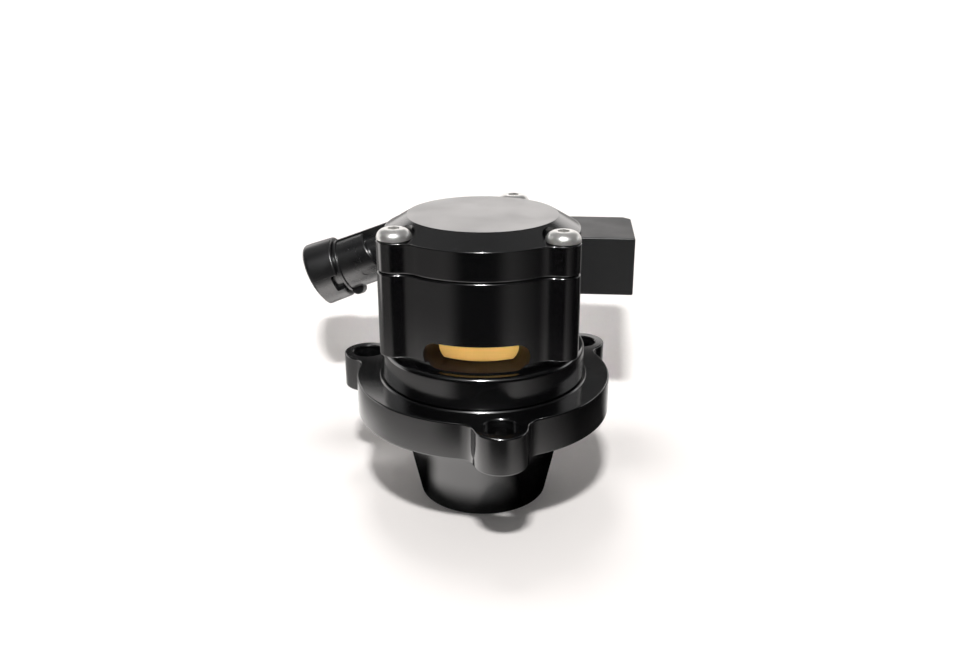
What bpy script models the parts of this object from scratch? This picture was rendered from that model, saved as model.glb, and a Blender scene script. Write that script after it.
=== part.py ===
"""Blow off valve: a spring loaded brass piston in a black anodised body on a three lug flange.

A solenoid on the back of the body lets the air out of the space above the piston. The piston then
lifts off its seat and opens three vent slots. Lengths are in metres, +Z is up, and the origin is the
middle of the model's footprint, level with the end of the spigot that it stands on.
"""
import math

import bmesh
import bpy
from mathutils import Matrix, Vector

# Place of the valve's axis from the middle of the footprint
VALVE_X = 0.00551
VALVE_Y = -0.00811

# Clearances between pieces
SEAT_GAP = 0.0003
SLIDE_GAP = 0.0003
SCREW_GAP = 0.0003
SEAL_GAP = 0.0003

# Number of flats on round pieces
ROUND_SEGMENTS = 32
MIDDLE_SEGMENTS = 20
SMALL_SEGMENTS = 16
FINE_SEGMENTS = 8
SECTION_SEGMENTS = 6
FILLET_STEPS = 3
HOLLOW_STEPS = 3
LOBE_STEPS = 6
PLAIN_STEPS = 8
DOME_STEPS = 4
SLOT_SIDE_STEPS = 5
SLOT_END_STEPS = 6
SPRING_STEPS = 10
SMALL_SPRING_STEPS = 8
SMALL_SPRING_SIDES = 4
HEXAGON = 6
BLOCK_EDGE_FLATS = 2

# Spigot and flange, turned and milled from one billet
SPIGOT_HEIGHT = 0.0270
SPIGOT_TIP_RADIUS = 0.0187
SPIGOT_TAPER = math.radians(12.4)
SPIGOT_WALL = 0.0021
FLANGE_RADIUS = 0.03675
FLANGE_THICKNESS = 0.0106
FLANGE_EDGE = 0.0004
LUG_COUNT = 3
LUG_FIRST_ANGLE = math.radians(-82.8)
LUG_OUTSET = 0.00165
LUG_RADIUS = 0.0073
LUG_BLEND = 0.0050
LUG_HOLE_RADIUS = 0.0033
LUG_COUNTERBORE_STEP = 0.0013
LUG_COUNTERBORE_DEPTH = 0.0016
FLANGE_WEB = 0.0060
FLANGE_SEAL_OUTSET = 0.0047
FLANGE_SEAL_SECTION = 0.0009

# Valve body: nose in the flange, base ring, neck and lobed cylinder
NOSE_WALL = 0.0047
NOSE_BELOW_CLIP = 0.0015
NOSE_SEAL_SECTION = 0.0008
NOSE_SEAL_DROP = 0.0030
SEAT_WIDTH = 0.0036
RING_STEP = 0.0019
RING_HEIGHT = 0.0091
RING_TOP_FILLET = 0.0014
NECK_STEP = 0.0013
NECK_HEIGHT = 0.0020
BODY_WALL = 0.0083
BODY_HEIGHT = 0.02355
BODY_EDGE = 0.0004
SCREW_OUTSET = 0.0002
SCREW_ANGLES = {
    "front_left": math.radians(-147.8),
    "front_right": math.radians(-39.6),
    "rear": math.radians(70.6),
}
LOBE_BEYOND_HEAD = 0.0001
LOBE_BLEND = 0.0060
BORE_RADIUS = 0.0191
SLOT_HEIGHT = 0.0092
SLOT_HALF_SPAN = math.radians(31.6)
SEAT_ABOVE_RING = 0.0004
SEAT_SEAL_SECTION = 0.0006
CAP_SEAL_OUTSET = 0.0027
CAP_SEAL_SECTION = 0.0008

# Retaining ring that holds the nose in the flange
CLIP_THICKNESS = 0.0013
CLIP_GROOVE_DEPTH = 0.0019
CLIP_CHAMBER_GAP = 0.0008
CLIP_CHAMBER_DEPTH = 0.0040
CLIP_OPENING = math.radians(24)
CLIP_EAR_ANGLE = math.radians(9)
CLIP_BACK_WIDTH = 0.0035
CLIP_FRONT_WIDTH = 0.0022

# Cap
CAP_RIM_HEIGHT = 0.0082
CAP_EDGE = 0.0003
CAP_CONE_INSET = 0.0004
CAP_CONE_RUN = 0.0059
CAP_CONE_RISE = 0.00355
CAP_ROOF = 0.0034
CAP_PILOT_WALL = 0.0038
CAP_RECESS_EDGE = 0.0009
CAP_PILOT_LENGTH = 0.00235
CAP_POCKET_GAP = 0.00085

# Cap screws: M5 button heads
SCREW_RADIUS = 0.0025
SCREW_LENGTH = 0.0220
SCREW_HEAD_RADIUS = 0.00475
SCREW_HEAD_HEIGHT = 0.00275
SCREW_HEAD_TOP_RADIUS = 0.0022
SCREW_SOCKET_RADIUS = 0.00173
SCREW_SOCKET_DEPTH = 0.0015
SCREW_TIP_CHAMFER = 0.0006

# Piston and main spring
PISTON_HEIGHT = 0.0134
PISTON_CROWN = 0.0040
PISTON_WALL = 0.0036
PISTON_LAND = 0.0053
PISTON_DISH_DEPTH = 0.0012
PISTON_EDGE = 0.0004
PISTON_BLEED_RADIUS = 0.0008
PISTON_BLEED_OFFSET = 0.0070
PISTON_SEAL_SECTION = 0.00075
PISTON_SEAL_FROM_TOP = 0.0022
SPRING_CLEARANCE = 0.0016
SPRING_WIRE = 0.0010
SPRING_TURNS = 6.5
CLOSED_TURN_RISE = 2.2

# Solenoid: its axis, seen from above, is turned a little from the valve's X direction
SOLENOID_DROP = 0.01211
SOLENOID_YAW = math.radians(-4.4)

# Solenoid housing, one moulding with the angled plug barrel
HOUSING_LEFT = -0.0280
HOUSING_RIGHT = 0.0152
HOUSING_FRONT = -0.0124
HOUSING_REAR = 0.0104
HOUSING_HALF_HEIGHT = 0.0091
HOUSING_EDGE = 0.0012
PORT_X = -0.0095
PORT_RADIUS = 0.0013
PORT_SEAL_RADIUS = 0.0030
PORT_SEAL_SECTION = 0.0007
PORT_RISE = 0.0100
PORT_INSET = 0.0048
PORT_NOTCH_HALF_WIDTH = 0.0020
PORT_NOTCH_HALF_DEPTH = 0.0064
NOZZLE_RADIUS = 0.0009
NOZZLE_TIP_RADIUS = 0.0020
NOZZLE_LENGTH = 0.0020
CHAMBER_FLOOR = 0.0025
VENT_RADIUS = 0.0012
MOUNT_SCREW_SPREAD = 0.0082
MOUNT_SCREW_INSET = 0.0041
MOUNT_SCREW_RADIUS = 0.0020
MOUNT_SCREW_HEAD_RADIUS = 0.0035
MOUNT_SCREW_HEAD_HEIGHT = 0.0040
MOUNT_SCREW_GRIP = 0.0090
MOUNT_SOCKET_RADIUS = 0.00175
MOUNT_SOCKET_DEPTH = 0.0020
BOSS_LENGTH = 0.0052
BOSS_ROOT_DEPTH = 0.0019
BOSS_HALF_WIDTH = 0.0122
BOSS_BELOW_AXIS = 0.0026
BOSS_ABOVE_AXIS = 0.0115
BOSS_EDGE = 0.0005

# Core tube, pole piece and plunger
TUBE_RADIUS = 0.00465
TUBE_WALL = 0.0006
TUBE_FROM_FLOOR = 0.0040
TUBE_END_GAP = 0.0009
TUBE_FLANGE_RADIUS = 0.0070
TUBE_FLANGE_THICKNESS = 0.0015
TUBE_SEAL_SECTION = 0.0006
PLUNGER_LENGTH = 0.0190
PLUNGER_STROKE = 0.0015
POLE_CLEARANCE = 0.0004
PLUNGER_PAD_RADIUS = 0.0023
PLUNGER_PAD_THICKNESS = 0.0015
PLUNGER_SPRING_RADIUS = 0.0016
PLUNGER_SPRING_WIRE = 0.00025
PLUNGER_SPRING_DEPTH = 0.0100
PLUNGER_SPRING_TURNS = 6.5

# Coil case with the bobbin and winding in it
CASE_RIGHT = 0.0483
CASE_HALF_DEPTH = 0.01385
CASE_HALF_HEIGHT = 0.0093
CASE_EDGE = 0.0004
CASE_CORNER = 0.0024
CASE_END_WALL = 0.0038
CASE_CAVITY_RADIUS = 0.0078
BOBBIN_WALL = 0.0005
BOBBIN_FLANGE = 0.0012
WINDING_BELOW_FLANGE = 0.0004

# Plug barrel: distances run from the rim of the mouth up the barrel's own axis
PLUG_X = -0.0558
PLUG_Z = -0.00906
PLUG_TILT = math.radians(20.5)
SHELL_WALL = 0.00143
SHELL_FLARE = 0.0004
SHELL_LENGTH = 0.0092
SHELL_SLANT = math.radians(5.8)
SHELL_FILLET = 0.0011
SHELL_REAR_FILLET = 0.0006
BARREL_RADIUS = 0.00847
BARREL_WALL = 0.0020
BARREL_START = 0.0055
BARREL_END = 0.0222
BARREL_SLANT = math.radians(15)
BARREL_FLOOR = 0.0150
BARREL_EDGE = 0.0006
RIDGE_HEIGHT = 0.0005
RIDGE_WIDTH = 0.0010
RIB_RISE = 0.0005
RIB_ROOT_DEPTH = 0.0040
RIB_HALF_WIDTH = 0.0006
NECK_PLUG_STEP = 0.0018
NECK_PLUG_END = 0.0310
PLUG_SEAL_WIDTH = 0.0012
PIN_WIDTH = 0.0028
PIN_THICKNESS = 0.0008
PIN_SPREAD = 0.0025
PIN_TIP = 0.0035
PIN_TIP_SHARE = 0.45
PIN_ROOT = 0.0180
LATCH_RADIUS = 0.0020
LATCH_HALF_WIDTH = 0.0022
LATCH_OUTSET = 0.0002
LATCH_ANGLE = math.radians(-14)
NOTCH_HALF_WIDTH = 0.0029
NOTCH_DEPTH = 0.0024
NOTCH_ANGLE = math.radians(-73)

# Radii and lengths worked out from the sizes above
LUG_CIRCLE_RADIUS = FLANGE_RADIUS + LUG_OUTSET
LUG_COUNTERBORE_RADIUS = LUG_HOLE_RADIUS + LUG_COUNTERBORE_STEP
FLANGE_SEAL_RADIUS = SPIGOT_TIP_RADIUS + SPIGOT_HEIGHT * math.tan(SPIGOT_TAPER) + FLANGE_SEAL_OUTSET
THROAT_RADIUS = BORE_RADIUS - SEAT_WIDTH
SEAT_SEAL_RADIUS = THROAT_RADIUS + SEAT_WIDTH / 2
NOSE_RADIUS = THROAT_RADIUS + NOSE_WALL
CLIP_INNER_RADIUS = NOSE_RADIUS - CLIP_GROOVE_DEPTH + SEAT_GAP
BODY_RADIUS = BORE_RADIUS + BODY_WALL
RING_RADIUS = BODY_RADIUS + RING_STEP
NECK_RADIUS = BODY_RADIUS - NECK_STEP
SCREW_CIRCLE_RADIUS = BODY_RADIUS + SCREW_OUTSET
LOBE_RADIUS = SCREW_HEAD_RADIUS + LOBE_BEYOND_HEAD
CAP_SEAL_RADIUS = BORE_RADIUS + CAP_SEAL_OUTSET
CAP_CONE_RADIUS = BODY_RADIUS - CAP_CONE_INSET
CAP_DISC_RADIUS = CAP_CONE_RADIUS - CAP_CONE_RUN
CAP_PILOT_RADIUS = BORE_RADIUS - SEAT_GAP
CAP_RECESS_RADIUS = CAP_PILOT_RADIUS - CAP_PILOT_WALL
CAP_POCKET_RADIUS = SCREW_HEAD_RADIUS + CAP_POCKET_GAP
PISTON_RADIUS = BORE_RADIUS - SLIDE_GAP
PISTON_INSIDE = PISTON_RADIUS - PISTON_WALL
SPRING_RADIUS = PISTON_INSIDE - SPRING_CLEARANCE - SPRING_WIRE
BARREL_CAVITY_RADIUS = BARREL_RADIUS - BARREL_WALL
SHELL_INSIDE = BARREL_RADIUS + SEAT_GAP
SHELL_REAR_RADIUS = SHELL_INSIDE + SHELL_WALL
SHELL_RADIUS = SHELL_REAR_RADIUS + SHELL_FLARE
RIDGE_START = SHELL_LENGTH + SEAT_GAP
RIDGE_RADIUS = BARREL_RADIUS + RIDGE_HEIGHT
MOUNT_SCREW_RISE = HOUSING_HALF_HEIGHT - MOUNT_SCREW_INSET
NOZZLE_END = CHAMBER_FLOOR + NOZZLE_LENGTH
PLUNGER_START = NOZZLE_END + 2 * SEAT_GAP
POLE_LEFT = PLUNGER_START + PLUNGER_LENGTH + PLUNGER_STROKE + POLE_CLEARANCE
TUBE_LEFT = CHAMBER_FLOOR + TUBE_FROM_FLOOR
CASE_CAVITY_END = CASE_RIGHT - CASE_END_WALL
TUBE_RIGHT = CASE_CAVITY_END - TUBE_END_GAP

# Heights worked out from the sizes above
FLANGE_TOP = SPIGOT_HEIGHT + FLANGE_THICKNESS
WEB_UNDERSIDE = FLANGE_TOP - FLANGE_WEB
RING_BASE = FLANGE_TOP + SEAT_GAP
RING_TOP = RING_BASE + RING_HEIGHT
BODY_BASE = RING_TOP + NECK_HEIGHT
BODY_TOP = BODY_BASE + BODY_HEIGHT
SEAT_Z = RING_TOP + SEAT_ABOVE_RING
CAP_BASE = BODY_TOP + SEAT_GAP
CAP_SHOULDER = CAP_BASE + CAP_RIM_HEIGHT
CAP_TOP = CAP_SHOULDER + CAP_CONE_RISE
CAP_CEILING = CAP_TOP - CAP_ROOF
PILOT_END = CAP_BASE - CAP_PILOT_LENGTH
PISTON_Z = SEAT_Z + SEAT_GAP
CLIP_LOW = WEB_UNDERSIDE - CLIP_THICKNESS - SEAT_GAP
BOSS_FACE = HOUSING_FRONT - SEAT_GAP
SOLENOID_Y = BODY_RADIUS + BOSS_LENGTH - BOSS_FACE
SOLENOID_Z = BODY_TOP - SOLENOID_DROP
ALONG_X = (0, math.pi / 2, 0)


def clear_scene():
    """Start from an empty scene."""
    for item in list(bpy.data.objects):
        bpy.data.objects.remove(item, do_unlink=True)


def finish(name, colour, roughness, metallic):
    """A Principled material with one colour."""
    material = bpy.data.materials.new(name)
    material.use_nodes = True
    shader = material.node_tree.nodes["Principled BSDF"]
    shader.inputs["Base Color"].default_value = (*colour, 1.0)
    shader.inputs["Roughness"].default_value = roughness
    shader.inputs["Metallic"].default_value = metallic
    material.diffuse_color = (*colour, 1.0)
    return material


def empty(name, parent=None, location=(0, 0, 0), rotation=(0, 0, 0)):
    """A frame that pieces are placed in."""
    item = bpy.data.objects.new(name, None)
    item.location = location
    item.rotation_euler = rotation
    item.parent = parent
    bpy.context.scene.collection.objects.link(item)
    return item


def piece(name, bm, parent, material, location=(0, 0, 0), rotation=(0, 0, 0)):
    """Turn a bmesh into a named object in its parent's frame."""
    mesh = bpy.data.meshes.new(name)
    bm.to_mesh(mesh)
    bm.free()
    mesh.shade_smooth()
    mesh.set_sharp_from_angle(angle=math.radians(32))
    if material:
        mesh.materials.append(material)
    item = bpy.data.objects.new(name, mesh)
    item.location = location
    item.rotation_euler = rotation
    item.parent = parent
    bpy.context.scene.collection.objects.link(item)
    return item


def shape(target, operation, bm, parent, location=(0, 0, 0), rotation=(0, 0, 0)):
    """Cut a tool out of the target, or join it on, with a Boolean that stays live."""
    tool = piece(target.name + "_tool", bm, parent, None, location, rotation)
    tool.hide_render = True
    tool.display_type = "WIRE"
    step = target.modifiers.new(operation.title(), "BOOLEAN")
    step.operation = operation
    step.object = tool
    step.solver = "EXACT"


def cut(target, bm, parent, location=(0, 0, 0), rotation=(0, 0, 0)):
    shape(target, "DIFFERENCE", bm, parent, location, rotation)


def join(target, bm, parent, location=(0, 0, 0), rotation=(0, 0, 0)):
    shape(target, "UNION", bm, parent, location, rotation)


def polar(radius, angle):
    return Vector((radius * math.cos(angle), radius * math.sin(angle)))


def arc(centre, radius, start, sweep, steps):
    """Points along an arc, both ends included."""
    return [Vector(centre) + polar(radius, start + sweep * i / steps) for i in range(steps + 1)]


def outline(corners):
    """An outline from corners (a, b), (a, b, chamfer) or (a, b, fillet, number of flats)."""
    points = []
    for i, corner in enumerate(corners):
        here = Vector(corner[:2])
        if len(corner) == 2:
            points.append(here)
            continue
        back = (Vector(corners[i - 1][:2]) - here).normalized()
        ahead = (Vector(corners[(i + 1) % len(corners)][:2]) - here).normalized()
        half = back.angle(ahead) / 2
        reach = corner[2] / math.tan(half)
        centre = here + (back + ahead).normalized() * corner[2] / math.sin(half)
        first = here + back * reach - centre
        last = here + ahead * reach - centre
        start = math.atan2(first.y, first.x)
        sweep = math.atan2(first.x * last.y - first.y * last.x, first.dot(last))
        points += arc(centre, corner[2], start, sweep, corner[3] if len(corner) > 3 else 1)
    return points


def turned(profile, segments=ROUND_SEGMENTS):
    """Spin a (radius, height) outline about +Z. It is open only where it starts on the axis."""
    bm = bmesh.new()
    verts = [bm.verts.new((point[0], 0, point[1])) for point in profile]
    edges = [bm.edges.new(pair) for pair in zip(verts, verts[1:])]
    if profile[0][0] > 0:
        edges.append(bm.edges.new((verts[-1], verts[0])))
    bmesh.ops.spin(bm, geom=verts + edges, cent=(0, 0, 0), axis=(0, 0, 1),
                   angle=2 * math.pi, steps=segments)
    bmesh.ops.remove_doubles(bm, verts=bm.verts, dist=1e-6)
    bmesh.ops.recalc_face_normals(bm, faces=bm.faces)
    return bm


def loft(loops):
    """Skin a stack of closed loops with the same number of points, and close both ends."""
    bm = bmesh.new()
    rows = [[bm.verts.new(point) for point in loop] for loop in loops]
    for low, high in zip(rows, rows[1:]):
        for i, corner in enumerate(low):
            j = (i + 1) % len(low)
            bm.faces.new((corner, low[j], high[j], high[i]))
    bm.faces.new(list(reversed(rows[0])))
    bm.faces.new(rows[-1])
    bmesh.ops.recalc_face_normals(bm, faces=bm.faces)
    return bm


def rod(radius, start, end, segments=SMALL_SEGMENTS):
    """A plain round bar between two points."""
    start = Vector(start)
    span = Vector(end) - start
    turn = Vector((0, 0, 1)).rotation_difference(span).to_matrix().to_4x4()
    bm = bmesh.new()
    bmesh.ops.create_cone(bm, cap_ends=True, segments=segments, radius1=radius, radius2=radius,
                          depth=span.length, matrix=Matrix.Translation(start + span / 2) @ turn)
    return bm


def block(low, high, edge=0.0):
    """A box between two corners, with its edges bevelled."""
    bm = bmesh.new()
    bmesh.ops.create_cube(bm, size=1.0)
    low = Vector(low)
    span = Vector(high) - low
    for vert in bm.verts:
        vert.co = low + Vector((vert.co[i] + 0.5) * span[i] for i in range(3))
    if edge:
        bmesh.ops.bevel(bm, geom=bm.edges, offset=edge, segments=BLOCK_EDGE_FLATS, profile=0.5,
                        affect="EDGES")
    return bm


def lobed_outline(radius, lobe_angles, lobe_circle, lobe_radius, blend):
    """A circle with round lobes on it, each run in with two hollow blends."""
    reach = radius + blend
    spread = math.acos((reach ** 2 + lobe_circle ** 2 - (lobe_radius + blend) ** 2)
                       / (2 * lobe_circle * reach))
    angles = sorted(lobe_angles)
    points = []
    for i, angle in enumerate(angles):
        lobe = polar(lobe_circle, angle)
        before = polar(reach, angle - spread)
        toward_lobe = math.atan2(*(lobe - before).yx)
        toward_axis = angle - spread + math.pi
        hollow = (toward_lobe - toward_axis + math.pi) % (2 * math.pi) - math.pi
        points += arc(before, blend, toward_axis, hollow, HOLLOW_STEPS)[:-1]
        start = toward_lobe + math.pi
        round_sweep = 2 * ((angle - start) % (2 * math.pi))
        points += arc(lobe, lobe_radius, start, round_sweep, LOBE_STEPS)
        after = polar(reach, angle + spread)
        points += arc(after, blend, start + round_sweep + math.pi, hollow, HOLLOW_STEPS)[1:]
        following = angles[(i + 1) % len(angles)]
        plain_sweep = (following - angle) % (2 * math.pi) - 2 * spread
        points += arc((0, 0), radius, angle + spread, plain_sweep, PLAIN_STEPS)[1:-1]
    return points


def lobed_plate(radius, lobe_angles, lobe_circle, lobe_radius, blend, low, high, edges):
    """A lobed plate between two heights, with a chamfer on its lower and upper edge."""
    low_edge, high_edge = edges
    layers = ((low_edge, low), (0.0, low + low_edge), (0.0, high - high_edge), (high_edge, high))
    loops = []
    for inset, height in layers:
        points = lobed_outline(radius - inset, lobe_angles, lobe_circle, lobe_radius - inset, blend + inset)
        loops.append([(point.x, point.y, height) for point in points])
    return loft(loops)


def seal_ring(name, radius, section, parent, material, location, rotation=(0, 0, 0),
              segments=MIDDLE_SEGMENTS):
    """A rubber ring of round section."""
    points = arc((radius, 0), section, 0, 2 * math.pi, SECTION_SEGMENTS)[:-1]
    return piece(name, turned(points, segments), parent, material, location, rotation)


def coil(name, radius, wire, turns, length, parent, material, location, rotation=(0, 0, 0),
         steps=SPRING_STEPS, sides=SECTION_SEGMENTS):
    """A compression spring along +Z whose end turns are wound close."""
    curve = bpy.data.curves.new(name, "CURVE")
    curve.dimensions = "3D"
    curve.bevel_depth = wire
    curve.bevel_resolution = sides // 2 - 2
    curve.use_fill_caps = True
    count = round(turns * steps)
    spline = curve.splines.new("POLY")
    spline.points.add(count)
    closed_rise = CLOSED_TURN_RISE * wire
    open_rise = (length - 2 * wire - 2 * closed_rise) / (turns - 2)
    for i, point in enumerate(spline.points):
        turn = i / steps
        from_top = turns - turn
        height = min(turn, 1) * closed_rise + min(from_top, 1) * -closed_rise
        height += closed_rise + max(0, min(turn, turns - 1) - 1) * open_rise + wire
        side = polar(radius, turn * 2 * math.pi)
        point.co = (side.x, side.y, height, 1)
    curve.materials.append(material)
    item = bpy.data.objects.new(name, curve)
    item.location = location
    item.rotation_euler = rotation
    item.parent = parent
    bpy.context.scene.collection.objects.link(item)
    return item


def lug_angles():
    return [LUG_FIRST_ANGLE + 2 * math.pi * i / LUG_COUNT for i in range(LUG_COUNT)]


def slot_angles():
    """Each vent slot is midway between two neighbouring cap screws."""
    angles = sorted(SCREW_ANGLES.values())
    following = angles[1:] + [angles[0] + 2 * math.pi]
    return [(a + b) / 2 for a, b in zip(angles, following)]


def spigot_inner_radius(height):
    return SPIGOT_TIP_RADIUS - SPIGOT_WALL + height * math.tan(SPIGOT_TAPER)


def make_flange(valve, black):
    """The mounting flange with its lugs, and the hollow tapered spigot under it."""
    flange = piece("mounting_flange", lobed_plate(
        FLANGE_RADIUS, lug_angles(), LUG_CIRCLE_RADIUS, LUG_RADIUS, LUG_BLEND,
        SPIGOT_HEIGHT, FLANGE_TOP, (FLANGE_EDGE, FLANGE_EDGE)), valve, black)
    overlap = FLANGE_THICKNESS / 3
    root = SPIGOT_HEIGHT + overlap
    spigot = outline([(0, 0), (SPIGOT_TIP_RADIUS, 0, FLANGE_EDGE),
                      (SPIGOT_TIP_RADIUS + root * math.tan(SPIGOT_TAPER), root), (0, root)])
    join(flange, turned(spigot), valve)
    web_bore = NOSE_RADIUS + SEAT_GAP
    chamber = CLIP_INNER_RADIUS + CLIP_BACK_WIDTH + CLIP_CHAMBER_GAP
    chamber_base = WEB_UNDERSIDE - CLIP_CHAMBER_DEPTH
    beyond = FLANGE_THICKNESS
    bore = [(0, -beyond), (spigot_inner_radius(-beyond), -beyond),
            (spigot_inner_radius(chamber_base), chamber_base), (chamber, chamber_base),
            (chamber, WEB_UNDERSIDE), (web_bore, WEB_UNDERSIDE), (web_bore, FLANGE_TOP + beyond),
            (0, FLANGE_TOP + beyond)]
    cut(flange, turned(bore), valve)
    groove_depth = 2 * FLANGE_SEAL_SECTION + SEAL_GAP
    cut(flange, ring_groove(FLANGE_SEAL_RADIUS, FLANGE_SEAL_SECTION, groove_depth), valve,
        (0, 0, SPIGOT_HEIGHT))
    seat = FLANGE_THICKNESS - LUG_COUNTERBORE_DEPTH
    hole = [(0, -beyond), (LUG_HOLE_RADIUS, -beyond), (LUG_HOLE_RADIUS, seat),
            (LUG_COUNTERBORE_RADIUS, seat), (LUG_COUNTERBORE_RADIUS, 2 * FLANGE_THICKNESS),
            (0, 2 * FLANGE_THICKNESS)]
    for angle in lug_angles():
        place = polar(LUG_CIRCLE_RADIUS, angle)
        cut(flange, turned(hole, SMALL_SEGMENTS), valve, (place.x, place.y, SPIGOT_HEIGHT))
    return flange


def ring_groove(radius, section, depth):
    """A square groove for a seal ring, cut up into a face at height 0."""
    half = section + SEAL_GAP
    return turned([(radius - half, -depth), (radius + half, -depth),
                   (radius + half, depth), (radius - half, depth)])


def vent_slot(angle):
    """A slot milled by turning the body under a round cutter: its ends are round, its sides radial."""
    mill = SLOT_HEIGHT / 2
    straight = SLOT_HALF_SPAN - math.asin(mill / BODY_RADIUS)
    centre_z = SEAT_Z + mill
    stations = []
    for i in range(SLOT_SIDE_STEPS):
        stations.append((straight * (2 * i / SLOT_SIDE_STEPS - 1), 0.0, -mill))
    for point in arc((0, 0), mill, -math.pi / 2, math.pi, SLOT_END_STEPS):
        stations.append((straight, point.x, point.y))
    for i in range(1, SLOT_SIDE_STEPS):
        stations.append((straight * (1 - 2 * i / SLOT_SIDE_STEPS), 0.0, mill))
    for point in arc((0, 0), mill, math.pi / 2, math.pi, SLOT_END_STEPS)[:-1]:
        stations.append((-straight, point.x, point.y))
    loops = []
    for radius in (THROAT_RADIUS, RING_RADIUS + SLOT_HEIGHT):
        loop = []
        for turn, side, rise in stations:
            along = polar(radius, angle + turn)
            across = polar(side, angle + turn + math.pi / 2)
            loop.append((along.x + across.x, along.y + across.y, centre_z + rise))
        loops.append(loop)
    return loft(loops)


def make_body(valve, solenoid, black):
    """The valve body: nose, base ring, neck and the lobed cylinder with its three vent slots."""
    body = piece("valve_body", lobed_plate(
        BODY_RADIUS, SCREW_ANGLES.values(), SCREW_CIRCLE_RADIUS, LOBE_RADIUS, LOBE_BLEND,
        BODY_BASE, BODY_TOP, (BODY_EDGE, BODY_EDGE)), valve, black)
    join(body, turned(body_profile()), valve)
    boss_root = BORE_RADIUS - BOSS_ROOT_DEPTH - SOLENOID_Y
    join(body, block((PORT_X - BOSS_HALF_WIDTH, boss_root, -BOSS_BELOW_AXIS),
                     (PORT_X + BOSS_HALF_WIDTH, BOSS_FACE, BOSS_ABOVE_AXIS), BOSS_EDGE), solenoid)
    top = CAP_TOP
    seat_low = SEAT_Z - 2 * SEAT_SEAL_SECTION - SEAL_GAP
    groove_in = SEAT_SEAL_RADIUS - SEAT_SEAL_SECTION - SEAL_GAP
    groove_out = SEAT_SEAL_RADIUS + SEAT_SEAL_SECTION + SEAL_GAP
    cut(body, turned([(0, 0), (THROAT_RADIUS, 0), (THROAT_RADIUS, SEAT_Z), (groove_in, SEAT_Z),
                      (groove_in, seat_low), (groove_out, seat_low), (groove_out, SEAT_Z),
                      (BORE_RADIUS, SEAT_Z), (BORE_RADIUS, top), (0, top)]), valve)
    cut(body, ring_groove(CAP_SEAL_RADIUS, CAP_SEAL_SECTION, 2 * CAP_SEAL_SECTION + SEAL_GAP), valve,
        (0, 0, BODY_TOP))
    for angle in slot_angles():
        cut(body, vent_slot(angle), valve)
    floor = CAP_SHOULDER + SEAT_GAP - SCREW_LENGTH - 2 * SCREW_GAP
    for angle in SCREW_ANGLES.values():
        place = polar(SCREW_CIRCLE_RADIUS, angle)
        cut(body, rod(SCREW_RADIUS + SCREW_GAP, (place.x, place.y, floor), (place.x, place.y, top)), valve)
    for side in (-1, 1):
        x = PORT_X + side * MOUNT_SCREW_SPREAD
        depth = BOSS_FACE - MOUNT_SCREW_GRIP - 2 * SCREW_GAP
        cut(body, rod(MOUNT_SCREW_RADIUS + SCREW_GAP, (x, depth, MOUNT_SCREW_RISE),
                      (x, HOUSING_REAR, MOUNT_SCREW_RISE)), solenoid)
    cut(body, rod(PORT_RADIUS, *gallery_ends()), solenoid)
    return body


def gallery_ends():
    """The drilled way from the boss face up to the space above the piston."""
    bore_y = BORE_RADIUS - PORT_INSET - SOLENOID_Y
    slope = PORT_RISE / (BOSS_FACE - bore_y)
    reach = PORT_RADIUS * 2
    return ((PORT_X, BOSS_FACE + reach, -slope * reach),
            (PORT_X, bore_y - reach, PORT_RISE + slope * reach))


def body_profile():
    """The turned outside of the body from its nose up into the lobed cylinder."""
    clip_low = CLIP_LOW - SEAT_GAP
    nose_end = clip_low - NOSE_BELOW_CLIP
    clip_radius = NOSE_RADIUS - CLIP_GROOVE_DEPTH
    seal_z = RING_BASE - NOSE_SEAL_DROP
    seal_half = NOSE_SEAL_SECTION + SEAL_GAP
    seal_radius = NOSE_RADIUS - 2 * NOSE_SEAL_SECTION - SEAL_GAP
    inside = BODY_BASE + BODY_HEIGHT / 2
    return outline([
        (0, nose_end), (NOSE_RADIUS, nose_end, BODY_EDGE), (NOSE_RADIUS, clip_low),
        (clip_radius, clip_low), (clip_radius, WEB_UNDERSIDE), (NOSE_RADIUS, WEB_UNDERSIDE),
        (NOSE_RADIUS, seal_z - seal_half), (seal_radius, seal_z - seal_half),
        (seal_radius, seal_z + seal_half), (NOSE_RADIUS, seal_z + seal_half),
        (NOSE_RADIUS, RING_BASE), (RING_RADIUS, RING_BASE, BODY_EDGE),
        (RING_RADIUS, RING_TOP, RING_TOP_FILLET, FILLET_STEPS), (NECK_RADIUS, RING_TOP),
        (NECK_RADIUS, inside), (0, inside)])


def make_retaining_ring(valve, steel):
    """A flat spring ring, open at the front between two ears, wider at its back."""
    steps = ROUND_SEGMENTS
    outer_side = []
    inner_side = []
    for i in range(steps + 1):
        turn = CLIP_OPENING / 2 + (2 * math.pi - CLIP_OPENING) * i / steps
        back = (1 - math.cos(turn)) / 2
        width = CLIP_FRONT_WIDTH + (CLIP_BACK_WIDTH - CLIP_FRONT_WIDTH) * back
        from_end = min(turn, 2 * math.pi - turn) - CLIP_OPENING / 2
        if from_end < CLIP_EAR_ANGLE:
            width = CLIP_BACK_WIDTH
        direction = turn - math.pi / 2
        outer_side.append(polar(CLIP_INNER_RADIUS + width, direction))
        inner_side.append(polar(CLIP_INNER_RADIUS, direction))
    points = outer_side + inner_side[::-1]
    loops = [[(p.x, p.y, z) for p in points] for z in (CLIP_LOW, CLIP_LOW + CLIP_THICKNESS)]
    return piece("retaining_ring", loft(loops), valve, steel)


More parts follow.
